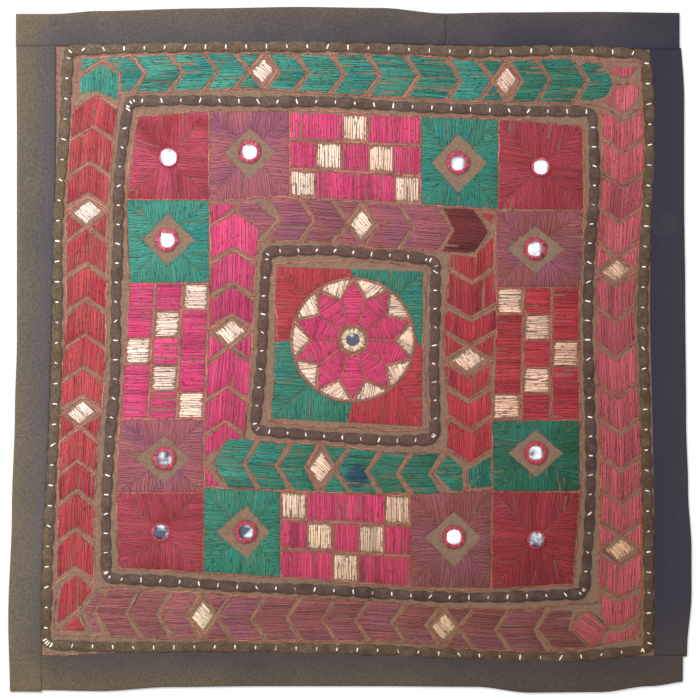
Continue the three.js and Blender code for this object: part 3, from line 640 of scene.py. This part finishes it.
def thread_finish(name, deep, pale, patches=None, stain=None, gap_shade=0.7):
    """Soft floss, with painted light making it lighter towards the upper left. Each strand has its own tone,
    and its twist shows in relief and as faint painted light and shade. Where the strands have parted, short
    dashes of painted shade run along them, the darker the higher the last argument. patches is the colour
    that uneven dye has left in places, and stain is a spot's place, reach and colour."""
    finish = Finish(name)
    x, y = finish.place()
    patch = finish.noise(35.0, 2.0)
    # Painted light: lighter towards the upper left, where the lamp falls, in soft patches.
    painted_light = (0.5 - 2.6 * x + 1.2 * y + 0.5 * (patch - 0.5)).kept_in()
    tone = finish.node("ShaderNodeAttribute", {"attribute_name": "tone"}, {}, output="Fac")
    strand = finish.node("ShaderNodeUVMap", {"uv_map": "thread"}, {})
    around = finish.node("ShaderNodeSeparateXYZ", {}, {"Vector": strand}, output="X")
    along = finish.node("ShaderNodeSeparateXYZ", {}, {"Vector": strand}, output="Y")
    twist = (along * TWISTS + around * (2 * math.pi)).sine()
    body = finish.blend(painted_light, deep, pale)
    if patches:
        dyed = finish.noise(48.0, 1.0)
        body = finish.blend((5.0 * dyed - 2.3).kept_in() * (0.2 + 0.5 * painted_light), body, patches)
    # Painted shade: the threads grow darker, and yellower, towards the bottom.
    body = finish.blend((-5.0 * y - 0.2).kept_in(), body, LOWER_SHADE_TINT, "MULTIPLY")
    if stain:
        spot_x, spot_y, reach, stain_colour = stain
        off_x, off_y = x - spot_x, y - spot_y
        near = (1.3 - (off_x * off_x + off_y * off_y) * (1 / reach ** 2)).kept_in()
        body = finish.blend(near * 0.85, body, stain_colour)
    fleck = finish.noise(1300.0, 2.0)
    strand_place = finish.node("ShaderNodeCombineXYZ", {}, {"X": along * 0.3, "Y": tone * 67.0})
    shaded_gap_mask = finish.node("ShaderNodeTexNoise", {}, {"Vector": strand_place, "Scale": 1.0, "Detail": 1.0})
    shaded = finish.blend(1.0, body, IN_SHADE, "MULTIPLY")
    bright = finish.blend(1.0, body, IN_LIGHT, "MULTIPLY")
    # Besides its bump, the twist adds faint painted light and shade to the colour.
    floss = finish.blend((tone + 0.05 * twist + 0.8 * (fleck - 0.5)).kept_in(), shaded, bright)
    # Painted shade: dark dashes along the strands stand in for the shadowed gaps where they part.
    floss = finish.blend((8.0 * shaded_gap_mask - 4.5).kept_in() * gap_shade, floss, shaded)
    return finish.surface(
        Base_Color=floss, Roughness=0.5, Specular_IOR_Level=0.4,
        Normal=finish.bump(twist, 0.00012),
    )


# The satin-stitched bands: arrows that chase each other round the square, one thread to a side, with the
# chevron's cloth left bare between them and cream lozenges set in.
ARM = 8.6               # how far back the arms of a chevron reach from its point
REAR_ARM = 0.86         # the same at an arrow's rear, as a share of ARM
ARROW_REAR, ARROW_FRONT = 1.15, 0.5
EDGE_SHARE = 0.03       # bare edge of the band, as a share of its width
LOZENGE_EDGE = 0.06
LOZENGE_ROOM = 0.76
FILL_REAR, FILL_SIDE, FILL_APART = 1.5, 1.0, 0.08    # room round the two triangles behind a lozenge
OUTER_ARROWS = (  # thread, chevron points along the side, and the points where a cream lozenge ends
    ("green",
     (-138.6, -122.4, -100.2, -79.2, -61.2, -43.2, -25.2, -3.6, 18, 40.8, 66, 85.2, 102, 120, 142.2, 157),
     (-43.2, 102)),
    ("rose",
     (-152, -138, -118.8, -97.8, -76.8, -56.4, -38.4, -18, 4.2, 28.8, 49.2, 72, 91.8, 111, 128.4, 149.5,
      166.8),
     (-38.4, 128.4)),
    ("mauve",
     (-130, -112.2, -88.2, -66, -46.8, -25.8, -3.6, 16.8, 37.2, 58.8, 79.2, 97.2, 114.6, 133.2, 153, 166),
     (-46.8, 97.2)),
    ("red",
     (-148, -131.4, -108, -85.2, -66.6, -46.8, -28.2, -10.8, 9, 30, 51, 73.2, 92.4, 112.2, 133.8, 153.6, 173),
     (-28.2, 92.4)),
)
INNER_ARROWS = (  # the same for the inner band
    ("mauve", (-62, -43.2, -21.6, -1.8, 15.6, 37.8, 61.8, 84), (15.6,)),
    ("red", (-57, -40.2, -19.2, -3, 15, 30, 48, 68.4), (15,)),
    ("green", (-67.8, -49.2, -28.8, -10.8, 8.4, 26.4, 43.2, 63, 82.8), (26.4,)),
    ("pink", (-62, -42.6, -22.2, 1.2, 20.4, 39, 60, 83.2), (20.4,)),
)
outline_runs = []    # plan lines to be worked in coral afterwards


def drawn_in(outline, room):
    """An outline with every edge moved inwards by a distance."""
    points = np.array(outline, float)
    ahead = np.roll(points, -1, axis=0)
    turn = np.sign(np.sum(points[:, 0] * ahead[:, 1] - ahead[:, 0] * points[:, 1]))
    edge = ahead - points
    edge /= np.maximum(np.linalg.norm(edge, axis=1), 1e-6)[:, None]
    inward = np.stack([-edge[:, 1], edge[:, 0]], axis=1) * turn
    before = np.roll(inward, 1, axis=0)
    reach = room / np.maximum(1 + np.sum(inward * before, axis=1), 0.4)
    return points + (inward + before) * reach[:, None]


def work_band(outer, inner, side, thread, points, cream, by_hand, other=None):
    """The arrows of one band on one side, but for those given one by one elsewhere. other gives single arrows
    their own thread, by number."""
    (inside, _), _ = side_ends(inner, side)

    def at(along, share):
        out = ring_out(outer, side, along) * (1 - share) + ring_out(inner, side, along) * share
        return plan(side, along, out)

    def low(along):
        return at(max(along, inside + 0.6), 1 - EDGE_SHARE)

    for number, (rear, front) in enumerate(zip(points, points[1:])):
        if number:
            outline_runs.append([at(rear - ARM, 0), at(rear, 0.5), at(max(rear - ARM, inside), 1)])
        if number in by_hand:
            continue
        chosen = (other or {}).get(number, thread)
        run = np.subtract(at(front, 0.5), at(rear, 0.5))
        angle = math.degrees(math.atan2(run[1], run[0])) + chance.normal(0, 1.2)
        shade = 0.6 + chance.normal(0, 0.06)
        if front in cream:
            half = rear + (front - rear) / 2
            lozenge = [at(rear, 0.5), at(half, LOZENGE_EDGE), at(front, 0.5), at(half, 1 - LOZENGE_EDGE)]
            middle = np.mean(lozenge, axis=0)
            worked = [middle + (np.array(p) - middle) * LOZENGE_ROOM for p in lozenge]
            satin("cream", worked, chance.normal(-45, 4), 0.7, pitch=0.82, ragged=0.5, slits=0)
            outline_runs.append([*lozenge, lozenge[0]])
            tail, tip, nose = rear - ARM + FILL_REAR, half - FILL_SIDE, rear + FILL_SIDE
            upper = [at(tail, EDGE_SHARE), at(tip, EDGE_SHARE), at(nose, 0.5 - FILL_APART)]
            lower = [at(nose, 0.5 + FILL_APART), at(tip, 1 - EDGE_SHARE), low(tail)]
            satin(chosen, upper, angle, shade)
            satin(chosen, lower, angle, shade)
        else:
            back, fore = rear + ARROW_REAR + chance.uniform(-0.7, 0.9), front - ARROW_FRONT
            arrow = [
                at(back - ARM * REAR_ARM, EDGE_SHARE), at(fore - ARM, EDGE_SHARE), at(fore, 0.5),
                low(fore - ARM), low(back - ARM * REAR_ARM), at(back, 0.5),
            ]
            satin(chosen, arrow, angle, shade)
    if number not in by_hand:
        outline_runs.append([at(front - ARM, 0), at(front, 0.5), at(front - ARM, 1)])


# The arrows at the ends of each side of the outer band, which are given one by one below.
OUTER_BY_HAND = ((0, 14), (0, 15), (0, 14), (0, 15))
for side, (thread, points, cream) in enumerate(OUTER_ARROWS):
    work_band("band_out", "band_in", side, thread, points, cream, OUTER_BY_HAND[side])
for side, (thread, points, cream) in enumerate(INNER_ARROWS):
    changed = {6: "maroon"} if side == TOP else None
    work_band("field_in", "inner_band_in", side, thread, points, cream, (0,), changed)

# Where two bands meet, their end cells are fitted to each other: thread, stitch angle and outline.
CORNER_CELLS = (
    ("green", 0, ((-161.6, 174.6), (-151.4, 175), (-149.8, 173.8), (-161.6, 166.2))),
    ("green", 90, ((-148.4, 171.8), (-138.8, 165.6), (-139.4, 149.4), (-151.4, 154.8), (-161.8, 153.4),
                   (-161.8, 163.2))),
    ("green", 0, ((-146.4, 174.8), (-131.5, 175.6), (-123.6, 165.8), (-131.5, 155), (-137.4, 154.4),
                  (-137.6, 165.8))),
    ("green", 0, ((137.4, 170.8), (141.9, 172.4), (149.5, 171.4), (155.8, 165.7), (158, 159.4),
                  (155.2, 154.3), (150.7, 150.2), (136.8, 150), (143.6, 161.9))),
    ("rose", 90, ((157.4, 170.6), (171.6, 170.6), (171.6, 167.6), (167.2, 162.8), (161.5, 162.8),
                  (156.8, 166.4))),
    ("rose", 90, ((158.3, 157.4), (172.6, 160), (172.6, 149.5), (164, 141.6), (153, 147.6), (154.6, 152.4))),
    ("rose", 90, ((150.6, -144.8), (160.8, -151.4), (173.2, -145), (173.2, -158.8), (162, -165.4),
                  (155, -165.4), (150.2, -158.4))),
    ("rose", -35, ((133.2, -166.8), (138, -158.4), (142.8, -157.2), (150, -163.8), (154.6, -168.6),
                   (150, -177.2), (145.2, -177))),
    ("rose", 90, ((155.4, -168.8), (163.2, -168.8), (172.4, -163), (171.8, -171.2), (164, -174.6),
                  (151.8, -177.4))),
    ("mauve", 180, ((112.8, -167.4), (120, -156.6), (134, -156.6), (131.6, -166.8), (143, -178),
                    (121.8, -179))),
    ("mauve", 180, ((-159.8, -155.4), (-152.3, -145.4), (-145.4, -145.9), (-154.6, -158), (-148.4, -168.8),
                    (-154.8, -168.8))),
    ("red", 90, ((-175, -151), (-172.6, -141), (-163.7, -134), (-154.8, -142.8), (-155.6, -145.8),
                 (-162.6, -154.6), (-175, -164.6))),
    ("red", 20, ((-163.7, -158.8), (-157.6, -168.6), (-173.6, -168.2))),
    ("pink", 90, ((-83, 87.6), (-70, 88.6), (-69.6, 84.8), (-83, 74.2))),
    ("mauve", 0, ((-67.6, 88.2), (-57, 89.2), (-43.9, 78.2), (-55, 66.8), (-57.6, 66.8), (-58.2, 74.6),
                  (-67.4, 83.4))),
    ("red", 90, ((77.4, 82.8), (86, 81.8), (85.6, 73.6))),
    ("red", 90, ((60.6, 58), (74.6, 56.4), (85.6, 68.4), (85.6, 49.6), (73.6, 41.2), (60.6, 48.6))),
    ("green", 0, ((58.4, -62.6), (67.8, -70.8), (68.4, -83.8), (60.4, -84.2), (50.6, -73.4))),
    ("green", 90, ((71.2, -71.2), (84.4, -63), (84.8, -82.4), (71.4, -83.6))),
    ("pink", 90, ((-86.2, -64.6), (-86, -52), (-75.4, -43.6), (-65, -51), (-66, -53.4), (-74.7, -56))),
    ("pink", 90, ((-86.2, -69.6), (-86.4, -82), (-77.4, -82.2))),
)
CORNER_LINES = (  # the outlines between and beside those cells
    ((-161.6, 164.4), (-148.4, 174), (-138.2, 166.2)), ((-138.2, 166.2), (-138.4, 154)),
    ((141.5, 173.4), (150.4, 172.2), (157, 166.3), (159.2, 159.4), (156.5, 153.6), (151.4, 149)),
    ((158.4, 158.8), (166, 159.8), (171.6, 162.4)),
    ((149.8, -159.4), (154.8, -166.8), (162, -167), (173.4, -160.6)),
    ((132.4, -166.6), (137.4, -157.4), (143.2, -156.2), (150, -162), (155.4, -168)),
    ((132.4, -166.6), (144.6, -178.4)),
    ((-175.6, 182.6), (-175.2, 168), (-176.4, 156), (-175.6, 146), (-174.2, 142.4)),
    ((-184.6, -182.8), (-172, -183), (-160, -182.6), (-146, -181.4), (-128, -182.4)),
    ((182.4, -148), (183.2, -160), (183, -172), (181.4, -180)),
    ((-175.4, -168), (-163, -156), (-153.8, -144)), ((-163, -156), (-155.8, -169.4)),
    ((-68.6, 88.6), (-69, 83.6)), ((69.7, -70), (70, -83.8)),
)
for thread, angle, outline in CORNER_CELLS:
    satin(thread, outline, angle + chance.normal(0, 1.5))
outline_runs.extend([list(line) for line in CORNER_LINES])

# The field of sixteen squares round the inner band, in floss. Those with a mirror are worked in four parts,
# mitred on the diagonals, and the checks in small blocks with cream ones among them.
FIELD_CUTS = (  # for each side, where its squares are cut, along it
    (-84.6, -36, 42.3, 89.4), (-83.4, -37.2, 42, 85.2),
    (-84.9, -36.3, 41.4, 87.9), (-85.8, -41.4, 39.9, 90.3),
)
MIRRORS = (  # name, x, y, how far the bare ground reaches up, right, down and left of it, and how dark a reflection is painted into its silver
    ("corner_top_left", -108.9, 115.5, None, 0.0), ("corner_top_right", 114.6, 109.8, None, 0.12),
    ("corner_bottom_right", 111.9, -113.7, None, 0.88), ("corner_bottom_left", -113.4, -109.2, None, 0.93),
    ("diamond_top_left", -60.3, 118.8, (14.4, 15.9, 16.8, 14.7), 0.0),
    ("diamond_top_right", 64.8, 112.2, (17.4, 17.4, 18, 15.6), 0.6),
    ("diamond_right_upper", 111, 60.6, (13.6, 17.6, 14.4, 16.8), 0.55),
    ("diamond_right_lower", 111.6, -61.8, (13.8, 16.2, 14.4, 16.8), 0.65),
    ("diamond_bottom_right", 62.4, -112.2, (15.2, 16.2, 18, 17), 0.05),
    ("diamond_bottom_left", -62.4, -109.2, (15.6, 14.4, 15.6, 18), 0.88),
    ("diamond_left_lower", -111.3, -65.1, (13.8, 15.3, 14.7, 17.1), 0.8),
    ("diamond_left_upper", -109.8, 66, (15.6, 16.8, 15, 14.4), 0.15),
    ("rosette", 1.8, 6, None, 0.93),
)
MIRROR_PLACES = {name: (mx, my, bare) for name, mx, my, bare, _ in MIRRORS}
# For each side: its corner square and its two diamonds, as mirror, thread, and the shade of each of the
# eight half sectors, clockwise from the left half of the top one: d is deep and p is pale.
SQUARES = (
    (("corner_top_left", "crimson", "dppddppd"), ("diamond_top_left", "mauve", "pppppppp"),
     ("diamond_top_right", "green", "pppppppp")),
    (("corner_top_right", "crimson", "dppddppd"), ("diamond_right_upper", "mauve", "pppppppp"),
     ("diamond_right_lower", "green", "pppppppp")),
    (("corner_bottom_right", "crimson", "ddppddpp"), ("diamond_bottom_right", "mauve", "pppppppp"),
     ("diamond_bottom_left", "green", "pppppppp")),
    (("corner_bottom_left", "crimson", "pddppddp"), ("diamond_left_lower", "mauve", "pppppppp"),
     ("diamond_left_upper", "green", "pppppppp")),
)
# The deep and pale sectors are partly the thread's own tone, and partly painted sheen of stitches that lie
# different ways.
SHADES = {"d": 0.52, "p": 0.62}
STITCH_ROOM = 0.5
STITCH_LEAN = 6
MIRROR_ROOM = 5.2


def work_square(quad, threads, shades, hole, lean):
    """A square worked round a hole, in eight half sectors whose stitches lean to the middle by some degrees.
    hole gives the hole's outline between two angles, clockwise from straight up, and quad runs clockwise from
    the upper left corner."""
    quad = [np.array(p, float) for p in quad]
    for number in range(8):
        side = number // 2
        first, last = quad[side], quad[(side + 1) % 4]
        centre = (first + last) / 2
        reach = hole(number * 45 - 45, number * 45)
        edge = [first, centre] if number % 2 == 0 else [centre, last]
        outline = [edge[0], edge[1], *reach[::-1]]
        run = last - first
        angle = math.degrees(math.atan2(run[1], run[0])) + 90 + (lean if number % 2 == 0 else -lean)
        satin(threads[number], outline, angle, SHADES[shades[number]], pitch=0.76, ragged=0.2,
              spread=0.08, missed=0, over=0.45, slits=0.03)


def diamond_hole(mx, my, bare):
    """The outline of a bare diamond between two angles that are 45 degrees apart."""
    tips = [(mx, my + bare[0]), (mx + bare[1], my), (mx, my - bare[2]), (mx - bare[3], my)]

    def tip(angle):
        return np.array(tips[round(angle / 90) % 4], float)

    def outline(start, end):
        if round(start / 45) % 2:
            return [(tip(start - 45) + tip(start + 45)) / 2, tip(end)]
        return [tip(start), (tip(end - 45) + tip(end + 45)) / 2]

    return outline


def round_hole(mx, my, radius):
    """The outline of a round hole between two angles."""

    def outline(start, end):
        turns = [math.radians(a) for a in np.linspace(start, end, 6)]
        return [np.array((mx + radius * math.sin(a), my + radius * math.cos(a))) for a in turns]

    return outline


def field_at(ring, side, along):
    """The plan point of a ring at a distance along a side."""
    return plan(side, along, ring_out(ring, side, along))


# The rows of a check square from the outside in: blocks of columns, as first, last and thread. main stands
# for the square's own thread.
CHECK_ROWS = (
    ((0, 2, "main"), (2, 3, "cream"), (3, 5, "main")),
    ((0, 1, "main"), (1, 2, "cream"), (2, 3, "main"), (3, 4, "cream"), (4, 5, "main")),
    ((0, 1, "cream"), (1, 4, "main"), (4, 5, "cream")),
)
CHECK_COLUMNS = 5
CREAM_ROOM, MAIN_ROOM, OUTLINE_ROOM = 1.1, 0.45, 0.5


def work_check(side, out_start, out_end, in_end, in_start, thread):
    """One check square, by its corners."""
    corners = [np.array(p, float) for p in (out_start, out_end, in_end, in_start)]

    def at(column, row):
        u, v = column / CHECK_COLUMNS, row / len(CHECK_ROWS)
        return (corners[0] * (1 - u) + corners[1] * u) * (1 - v) + (corners[3] * (1 - u) + corners[2] * u) * v

    for row, blocks in enumerate(CHECK_ROWS):
        for first, last, block_thread in blocks:
            block = [at(first, row), at(last, row), at(last, row + 1), at(first, row + 1)]
            drop = at(first, row + 1) - at(first, row)
            angle = math.degrees(math.atan2(drop[1], drop[0]))
            if block_thread == "cream":
                satin("cream", drawn_in(block, CREAM_ROOM), angle, 0.7, pitch=1.0, ragged=0.7, slits=0.02)
                line = drawn_in(block, OUTLINE_ROOM)
                outline_runs.append([*line, line[0]])
            else:
                satin(thread, drawn_in(block, MAIN_ROOM), angle, 0.62 + chance.normal(0, 0.04), slits=0.05)
    for row in (1, 2):
        outline_runs.append([at(0, row), at(CHECK_COLUMNS, row)])


for side in range(4):
    cuts = FIELD_CUTS[side]
    before = (side + 3) % 4
    outs = [field_at("field_out", side, c) for c in cuts]
    ins = [field_at("field_in", side, c) for c in cuts]
    corner_quad = [RINGS["field_out"][0][side], outs[0], RINGS["field_in"][0][side],
                   field_at("field_out", before, FIELD_CUTS[before][3])]
    quads = [corner_quad, [outs[0], outs[1], ins[1], ins[0]], [outs[2], outs[3], ins[3], ins[2]]]
    for quad, (mirror, thread, shades) in zip(quads, SQUARES[side]):
        mx, my, bare = MIRROR_PLACES[mirror]
        top_left = min(range(4), key=lambda k: quad[k][0] - quad[k][1])
        quad = [quad[(top_left + k) % 4] for k in range(4)]
        hole = diamond_hole(mx, my, bare) if bare else round_hole(mx, my, MIRROR_ROOM)
        work_square(drawn_in(quad, STITCH_ROOM), [thread] * 8, shades, hole, STITCH_LEAN)
    work_check(side, outs[1], outs[2], ins[2], ins[1], "red" if side == RIGHT else "pink")
    for first, last in zip(outs, ins):
        outline_runs.append([first, last])

# The middle square: four quarters of floss round a rosette of ten petals, worked across each petal, with
# cream wedges out to its round rim.
ROSETTE = {"petals": 10, "rim": 37.0, "root": 9.6, "shoulder": 25.0, "tip": 35.4}
PETAL_HALF = math.radians(17.8)
PETAL_ROOT_HALF = math.radians(17.3)
MIDDLE_ROOM, RIM_CLEAR = 1.5, 0.7
PETAL_ROOM, TIP_ROOM, ROOT_ROOM = 0.1, 1.0, 0.8
WEDGE_ROOM, RIM_ROOM = 0.9, 0.4
WEDGE_START = 0.07    # where a wedge meets the rim, as a share of the way from one petal to the next
centre = np.array(MIRROR_PLACES["rosette"][:2])
middle_quad = drawn_in(RINGS["middle_out"][0], MIDDLE_ROOM)
quarters = ("red", "green", "red", "green")    # clockwise from the upper left
middle_threads = [quarters[(number + 1) // 2 % 4] for number in range(8)]
work_square(middle_quad, middle_threads, "pppppppp", round_hole(*centre, ROSETTE["rim"] + RIM_CLEAR), 0)


def polar(angle, radius):
    """A point about the rosette's middle, by an angle clockwise from straight up."""
    return centre + radius * np.array((math.sin(angle), math.cos(angle)))


petal_pitch = 2 * math.pi / ROSETTE["petals"]
for number in range(ROSETTE["petals"]):
    turn = number * petal_pitch
    root, shoulder, tip, rim = (ROSETTE[key] for key in ("root", "shoulder", "tip", "rim"))
    petal = [polar(turn - PETAL_ROOT_HALF, root), polar(turn - PETAL_HALF, shoulder), polar(turn, tip),
             polar(turn + PETAL_HALF, shoulder), polar(turn + PETAL_ROOT_HALF, root)]
    satin("pink", drawn_in(petal, PETAL_ROOM), -math.degrees(turn), 0.62,
          ragged=0.1, spread=0.1, over=0.25, slits=0.01)
    half = turn + petal_pitch / 2
    wedge = [polar(half, shoulder + WEDGE_ROOM), polar(turn + petal_pitch * WEDGE_START, rim - WEDGE_ROOM)]
    wedge += [polar(turn + petal_pitch * share, rim - RIM_ROOM) for share in (0.25, 0.5, 0.75)]
    wedge += [polar(turn + petal_pitch * (1 - WEDGE_START), rim - WEDGE_ROOM)]
    satin("cream", wedge, 60 - math.degrees(half), 0.64, pitch=0.9, ragged=0.3, spread=0.18, slits=0)
    outline_runs.append([polar(half, root - ROOT_ROOM), polar(half, shoulder)])
    outline_runs.append([polar(half, shoulder), polar(turn + petal_pitch, tip + TIP_ROOM)])
    outline_runs.append([polar(half, shoulder), polar(turn, tip + TIP_ROOM)])
circle = np.linspace(0, 2 * math.pi, 73)
outline_runs.append([polar(a, ROSETTE["rim"]) for a in circle])
outline_runs.append([polar(a, ROSETTE["root"] - ROOT_ROOM) for a in circle])

# All the satin is now worked, and each thread's stitches become one piece.
SATIN_THREADS = (  # thread, deep colour, the lighter colour that painted light gives it towards the upper left, colour of its patches, and how dark the painted shade in its gaps is
    ("green", colour(22, 80, 51), colour(80, 160, 141), colour(38, 138, 134), 0.62),
    ("red", colour(154, 38, 48), colour(188, 83, 86), colour(182, 52, 78), 0.52),
    ("crimson", colour(136, 38, 46), colour(192, 84, 106), colour(160, 54, 50), 0.4),
    ("rose", colour(172, 80, 88), colour(210, 118, 126), colour(184, 66, 84), 0.5),
    ("pink", colour(172, 50, 76), colour(218, 88, 134), colour(204, 54, 110), 0.5),
    ("mauve", colour(122, 64, 62), colour(178, 108, 118), colour(140, 84, 120), 0.4),
    ("maroon", colour(108, 44, 44), colour(136, 60, 62), colour(104, 40, 48), 0.5),
    ("cream", colour(198, 154, 126), colour(255, 238, 224), colour(240, 208, 184), 0.7),
)
# Where dye has run into the green of the lower inner band: x, y and reach in metres, and colour.
GREEN_STAIN = (0.0045, -0.0755, 0.0075, colour(30, 62, 92))
for thread, deep, pale, patches, gap_shade in SATIN_THREADS:
    stain = GREEN_STAIN if thread == "green" else None
    floss = thread_finish(f"thread_{thread}", deep, pale, patches, stain, gap_shade)
    make_stitches(f"satin_{thread}", thread, floss)

# The outlines: coral yarn in stem stitch along every edge of the bands, squares, arrows and petals. The
# stitches overlap and wander as hand work does.
STEM_STEP = 2.2
STEM_WIDTH = 0.85
STEM_THICK = 0.8
STEM_LAP, STEM_SLANT = 0.55, 0.24
STEM_TONE = 0.58


def stem(line, wander=0.35):
    """A plan line worked in stem stitch."""
    line = np.array(line, float)
    length = np.linalg.norm(np.diff(line, axis=0), axis=1).sum()
    count = max(2, round(length / STEM_STEP) + 1)
    places, runs = spaced(line, count, closed=False)
    places += np.stack([-runs[:, 1], runs[:, 0]], axis=1) * (
        wander * np.sin(np.arange(count) * 0.9 + chance.uniform(0, 6)) * chance.uniform(0.5, 1))[:, None]
    shade = 0.62
    for here, ahead, run in zip(places, places[1:], runs):
        shade = STEM_TONE + (shade - STEM_TONE) * 0.7 + chance.normal(0, 0.12)
        off = np.array((-run[1], run[0])) * STEM_SLANT
        start = here - run * STEM_LAP - off
        end = ahead + run * STEM_LAP + off
        sew_flat("coral", start, end, min(max(shade, 0), 1), STEM_WIDTH, STEM_THICK, sunk=0.1)


RING_LINES = ("band_out", "band_in", "field_out", "field_in", "inner_band_in", "middle_out")
for ring in RING_LINES:
    for side in range(4):
        stem([ring_point(ring, side, share) for share in np.linspace(0, 1, 40)], wander=0.5)
for line in outline_runs:
    stem(line)
coral = thread_finish("thread_coral", colour(160, 86, 70), colour(206, 134, 120))
make_stitches("outline_coral", "coral", coral, rings=3)

# The ties: short white cotton stitches over the padded cords, each a little askew, with a few more of them
# bunched at most corners.
TIE_HALF = 1.65
TIE_WIDTH, TIE_THICK = 0.85, 0.7
TIE_SUNK, BUNCH_SUNK = 0.55, 0.7
BUNCHES = (  # ring, corner clockwise from the upper left, and how many more ties are bunched there
    ("middle_cord", 0, 3), ("middle_cord", 2, 2), ("middle_cord", 3, 2),
    ("outer_cord", 3, 4), ("outer_cord", 0, 1), ("outer_cord", 2, 2),
    ("inner_cord", 0, 1), ("inner_cord", 1, 2), ("inner_cord", 2, 1), ("inner_cord", 3, 1),
)
BUNCH_PIVOT, BUNCH_INNER, BUNCH_OUTER = 6.0, 5.0, 8.4
BUNCH_FAN, LONE_TURN = 0.32, 0.1    # in radians from the corner's diagonal
for ring, ties in tied_places.items():
    for place, side, top in ties:
        skew = np.array((-side[1], side[0])) * chance.normal(0, 0.5)
        reach = TIE_HALF * chance.uniform(0.72, 1.2)
        start, end = place - side * reach - skew, place + side * reach + skew
        low = top - TIE_SUNK
        sew("white", (*start, low), (*end, low), TIE_WIDTH * chance.uniform(0.8, 1.15), TIE_THICK, 0.72,
            chance.uniform(0.6, 1))
for ring, corner, number in BUNCHES:
    out = np.add(SIDES[corner][1], SIDES[corner - 1][1])
    pivot = np.array(RINGS[ring][0][corner]) - BUNCH_PIVOT * out
    for turn in np.linspace(-BUNCH_FAN, BUNCH_FAN, number) if number > 1 else (LONE_TURN,):
        turn += math.atan2(out[1], out[0]) + chance.normal(0, 0.08)
        way = np.array((math.cos(turn), math.sin(turn)))
        start, end = pivot + way * BUNCH_INNER, pivot + way * (BUNCH_OUTER + chance.normal(0, 0.3))
        low = cloth_top(*start) + PUFF_HEIGHT - BUNCH_SUNK
        sew("white", (*start, low), (*end, low), TIE_WIDTH, TIE_THICK, 0.85, chance.uniform(0.6, 1))
cotton_thread = thread_finish("thread_white", colour(226, 220, 210), colour(255, 252, 246))
make_stitches("ties_white", "white", cotton_thread)

# The mirrors: thirteen small flat rounds of thin silvered glass with eased edges, each held by a ring of
# stitches worked from the cloth over its edge.
GLASS_RADIUS, GLASS_LOW, GLASS_THICK = 5.3, 1.5, 0.75
GLASS_SIDES, GLASS_EASE = 40, 0.12
RING_STITCHES = 74
RING_WIDTH, RING_THICK = 0.68, 0.62
RING_REACH, SHORT_REACH = 7.3, 6.1    # where its stitches start: on bare ground, and in a corner square
RING_SUNK, RING_LOW = 0.1, 0.05       # how far its ends lie in the cloth and in the glass
OPENING = 4.2                         # radius of the glass that shows, but for these two
OPENINGS = {"corner_top_left": 4.9, "rosette": 3.7}
glass_finish = Finish("mirror_glass")
spot = glass_finish.noise(420.0, 3.0)
mirror_blotch = glass_finish.noise(230.0, 2.0)
# Painted reflection: each mirror's silver is darkened by its listed share, standing in for the darker
# surroundings a tilted mirror reflects, and blotched by noise.
dark_reflection_share = glass_finish.node("ShaderNodeAttribute", {"attribute_name": "dark_reflection"}, {}, output="Fac")
silver = glass_finish.blend((dark_reflection_share + 1.6 * (mirror_blotch - 0.5) * (0.1 + dark_reflection_share)).kept_in(),
                            colour(250, 252, 252), colour(66, 70, 84))
glass_finish.surface(
    Base_Color=silver, Metallic=1.0, Roughness=(0.06 + 0.2 * spot).kept_in(),
    Normal=glass_finish.bump(spot, 0.00003),
)
for name, mx, my, bare, dark_reflection in MIRRORS:
    bpy.ops.object.select_all(action="DESELECT")
    bpy.ops.mesh.primitive_cylinder_add(
        vertices=GLASS_SIDES, radius=GLASS_RADIUS * MM, depth=GLASS_THICK * MM,
        location=(mx * MM, my * MM, (GLASS_LOW + GLASS_THICK / 2) * MM),
    )
    glass = bpy.context.object
    glass.name = f"glass_{name}"
    bpy.ops.object.transform_apply(location=True, rotation=True, scale=True)
    bpy.ops.object.mode_set(mode="EDIT")
    bpy.ops.mesh.select_all(action="SELECT")
    bpy.ops.mesh.bevel(offset=GLASS_EASE * MM, segments=2, affect="EDGES")
    bpy.ops.object.mode_set(mode="OBJECT")
    glass.data.materials.append(glass_finish.material)
    bpy.ops.object.shade_smooth_by_angle(angle=math.radians(40))
    dark_reflection_values = [dark_reflection] * len(glass.data.vertices)
    glass.data.attributes.new("dark_reflection", "FLOAT", "POINT").data.foreach_set("value", dark_reflection_values)
    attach(glass, "root")
    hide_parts(f"mirror_{name}")
    thread = "ring_cream" if name == "rosette" else "ring_pink"
    opening = OPENINGS.get(name, OPENING)
    for number in range(RING_STITCHES):
        turn = (number + chance.normal(0, 0.25)) * 2 * math.pi / RING_STITCHES
        way = np.array((math.sin(turn), math.cos(turn)))
        inner = way * (opening + chance.normal(0, 0.15)) + (mx, my)
        reach = RING_REACH + chance.normal(0, 0.3) if bare or name == "rosette" else SHORT_REACH
        outer = way * reach + (mx, my)
        sew(thread, (*outer, cloth_top(*outer) - RING_SUNK), (*inner, GLASS_LOW + GLASS_THICK - RING_LOW),
            RING_WIDTH, RING_THICK, 0.7, min(max(chance.normal(0.58, 0.2), 0), 1))
RING_THREADS = (  # thread, deep colour, and the lighter colour that painted light gives it towards the upper left
    ("ring_pink", colour(180, 60, 80), colour(218, 104, 130)),
    ("ring_cream", colour(220, 188, 152), colour(250, 228, 200)),
)
for thread, deep, pale in RING_THREADS:
    make_stitches(thread, thread, thread_finish(f"thread_{thread}", deep, pale))
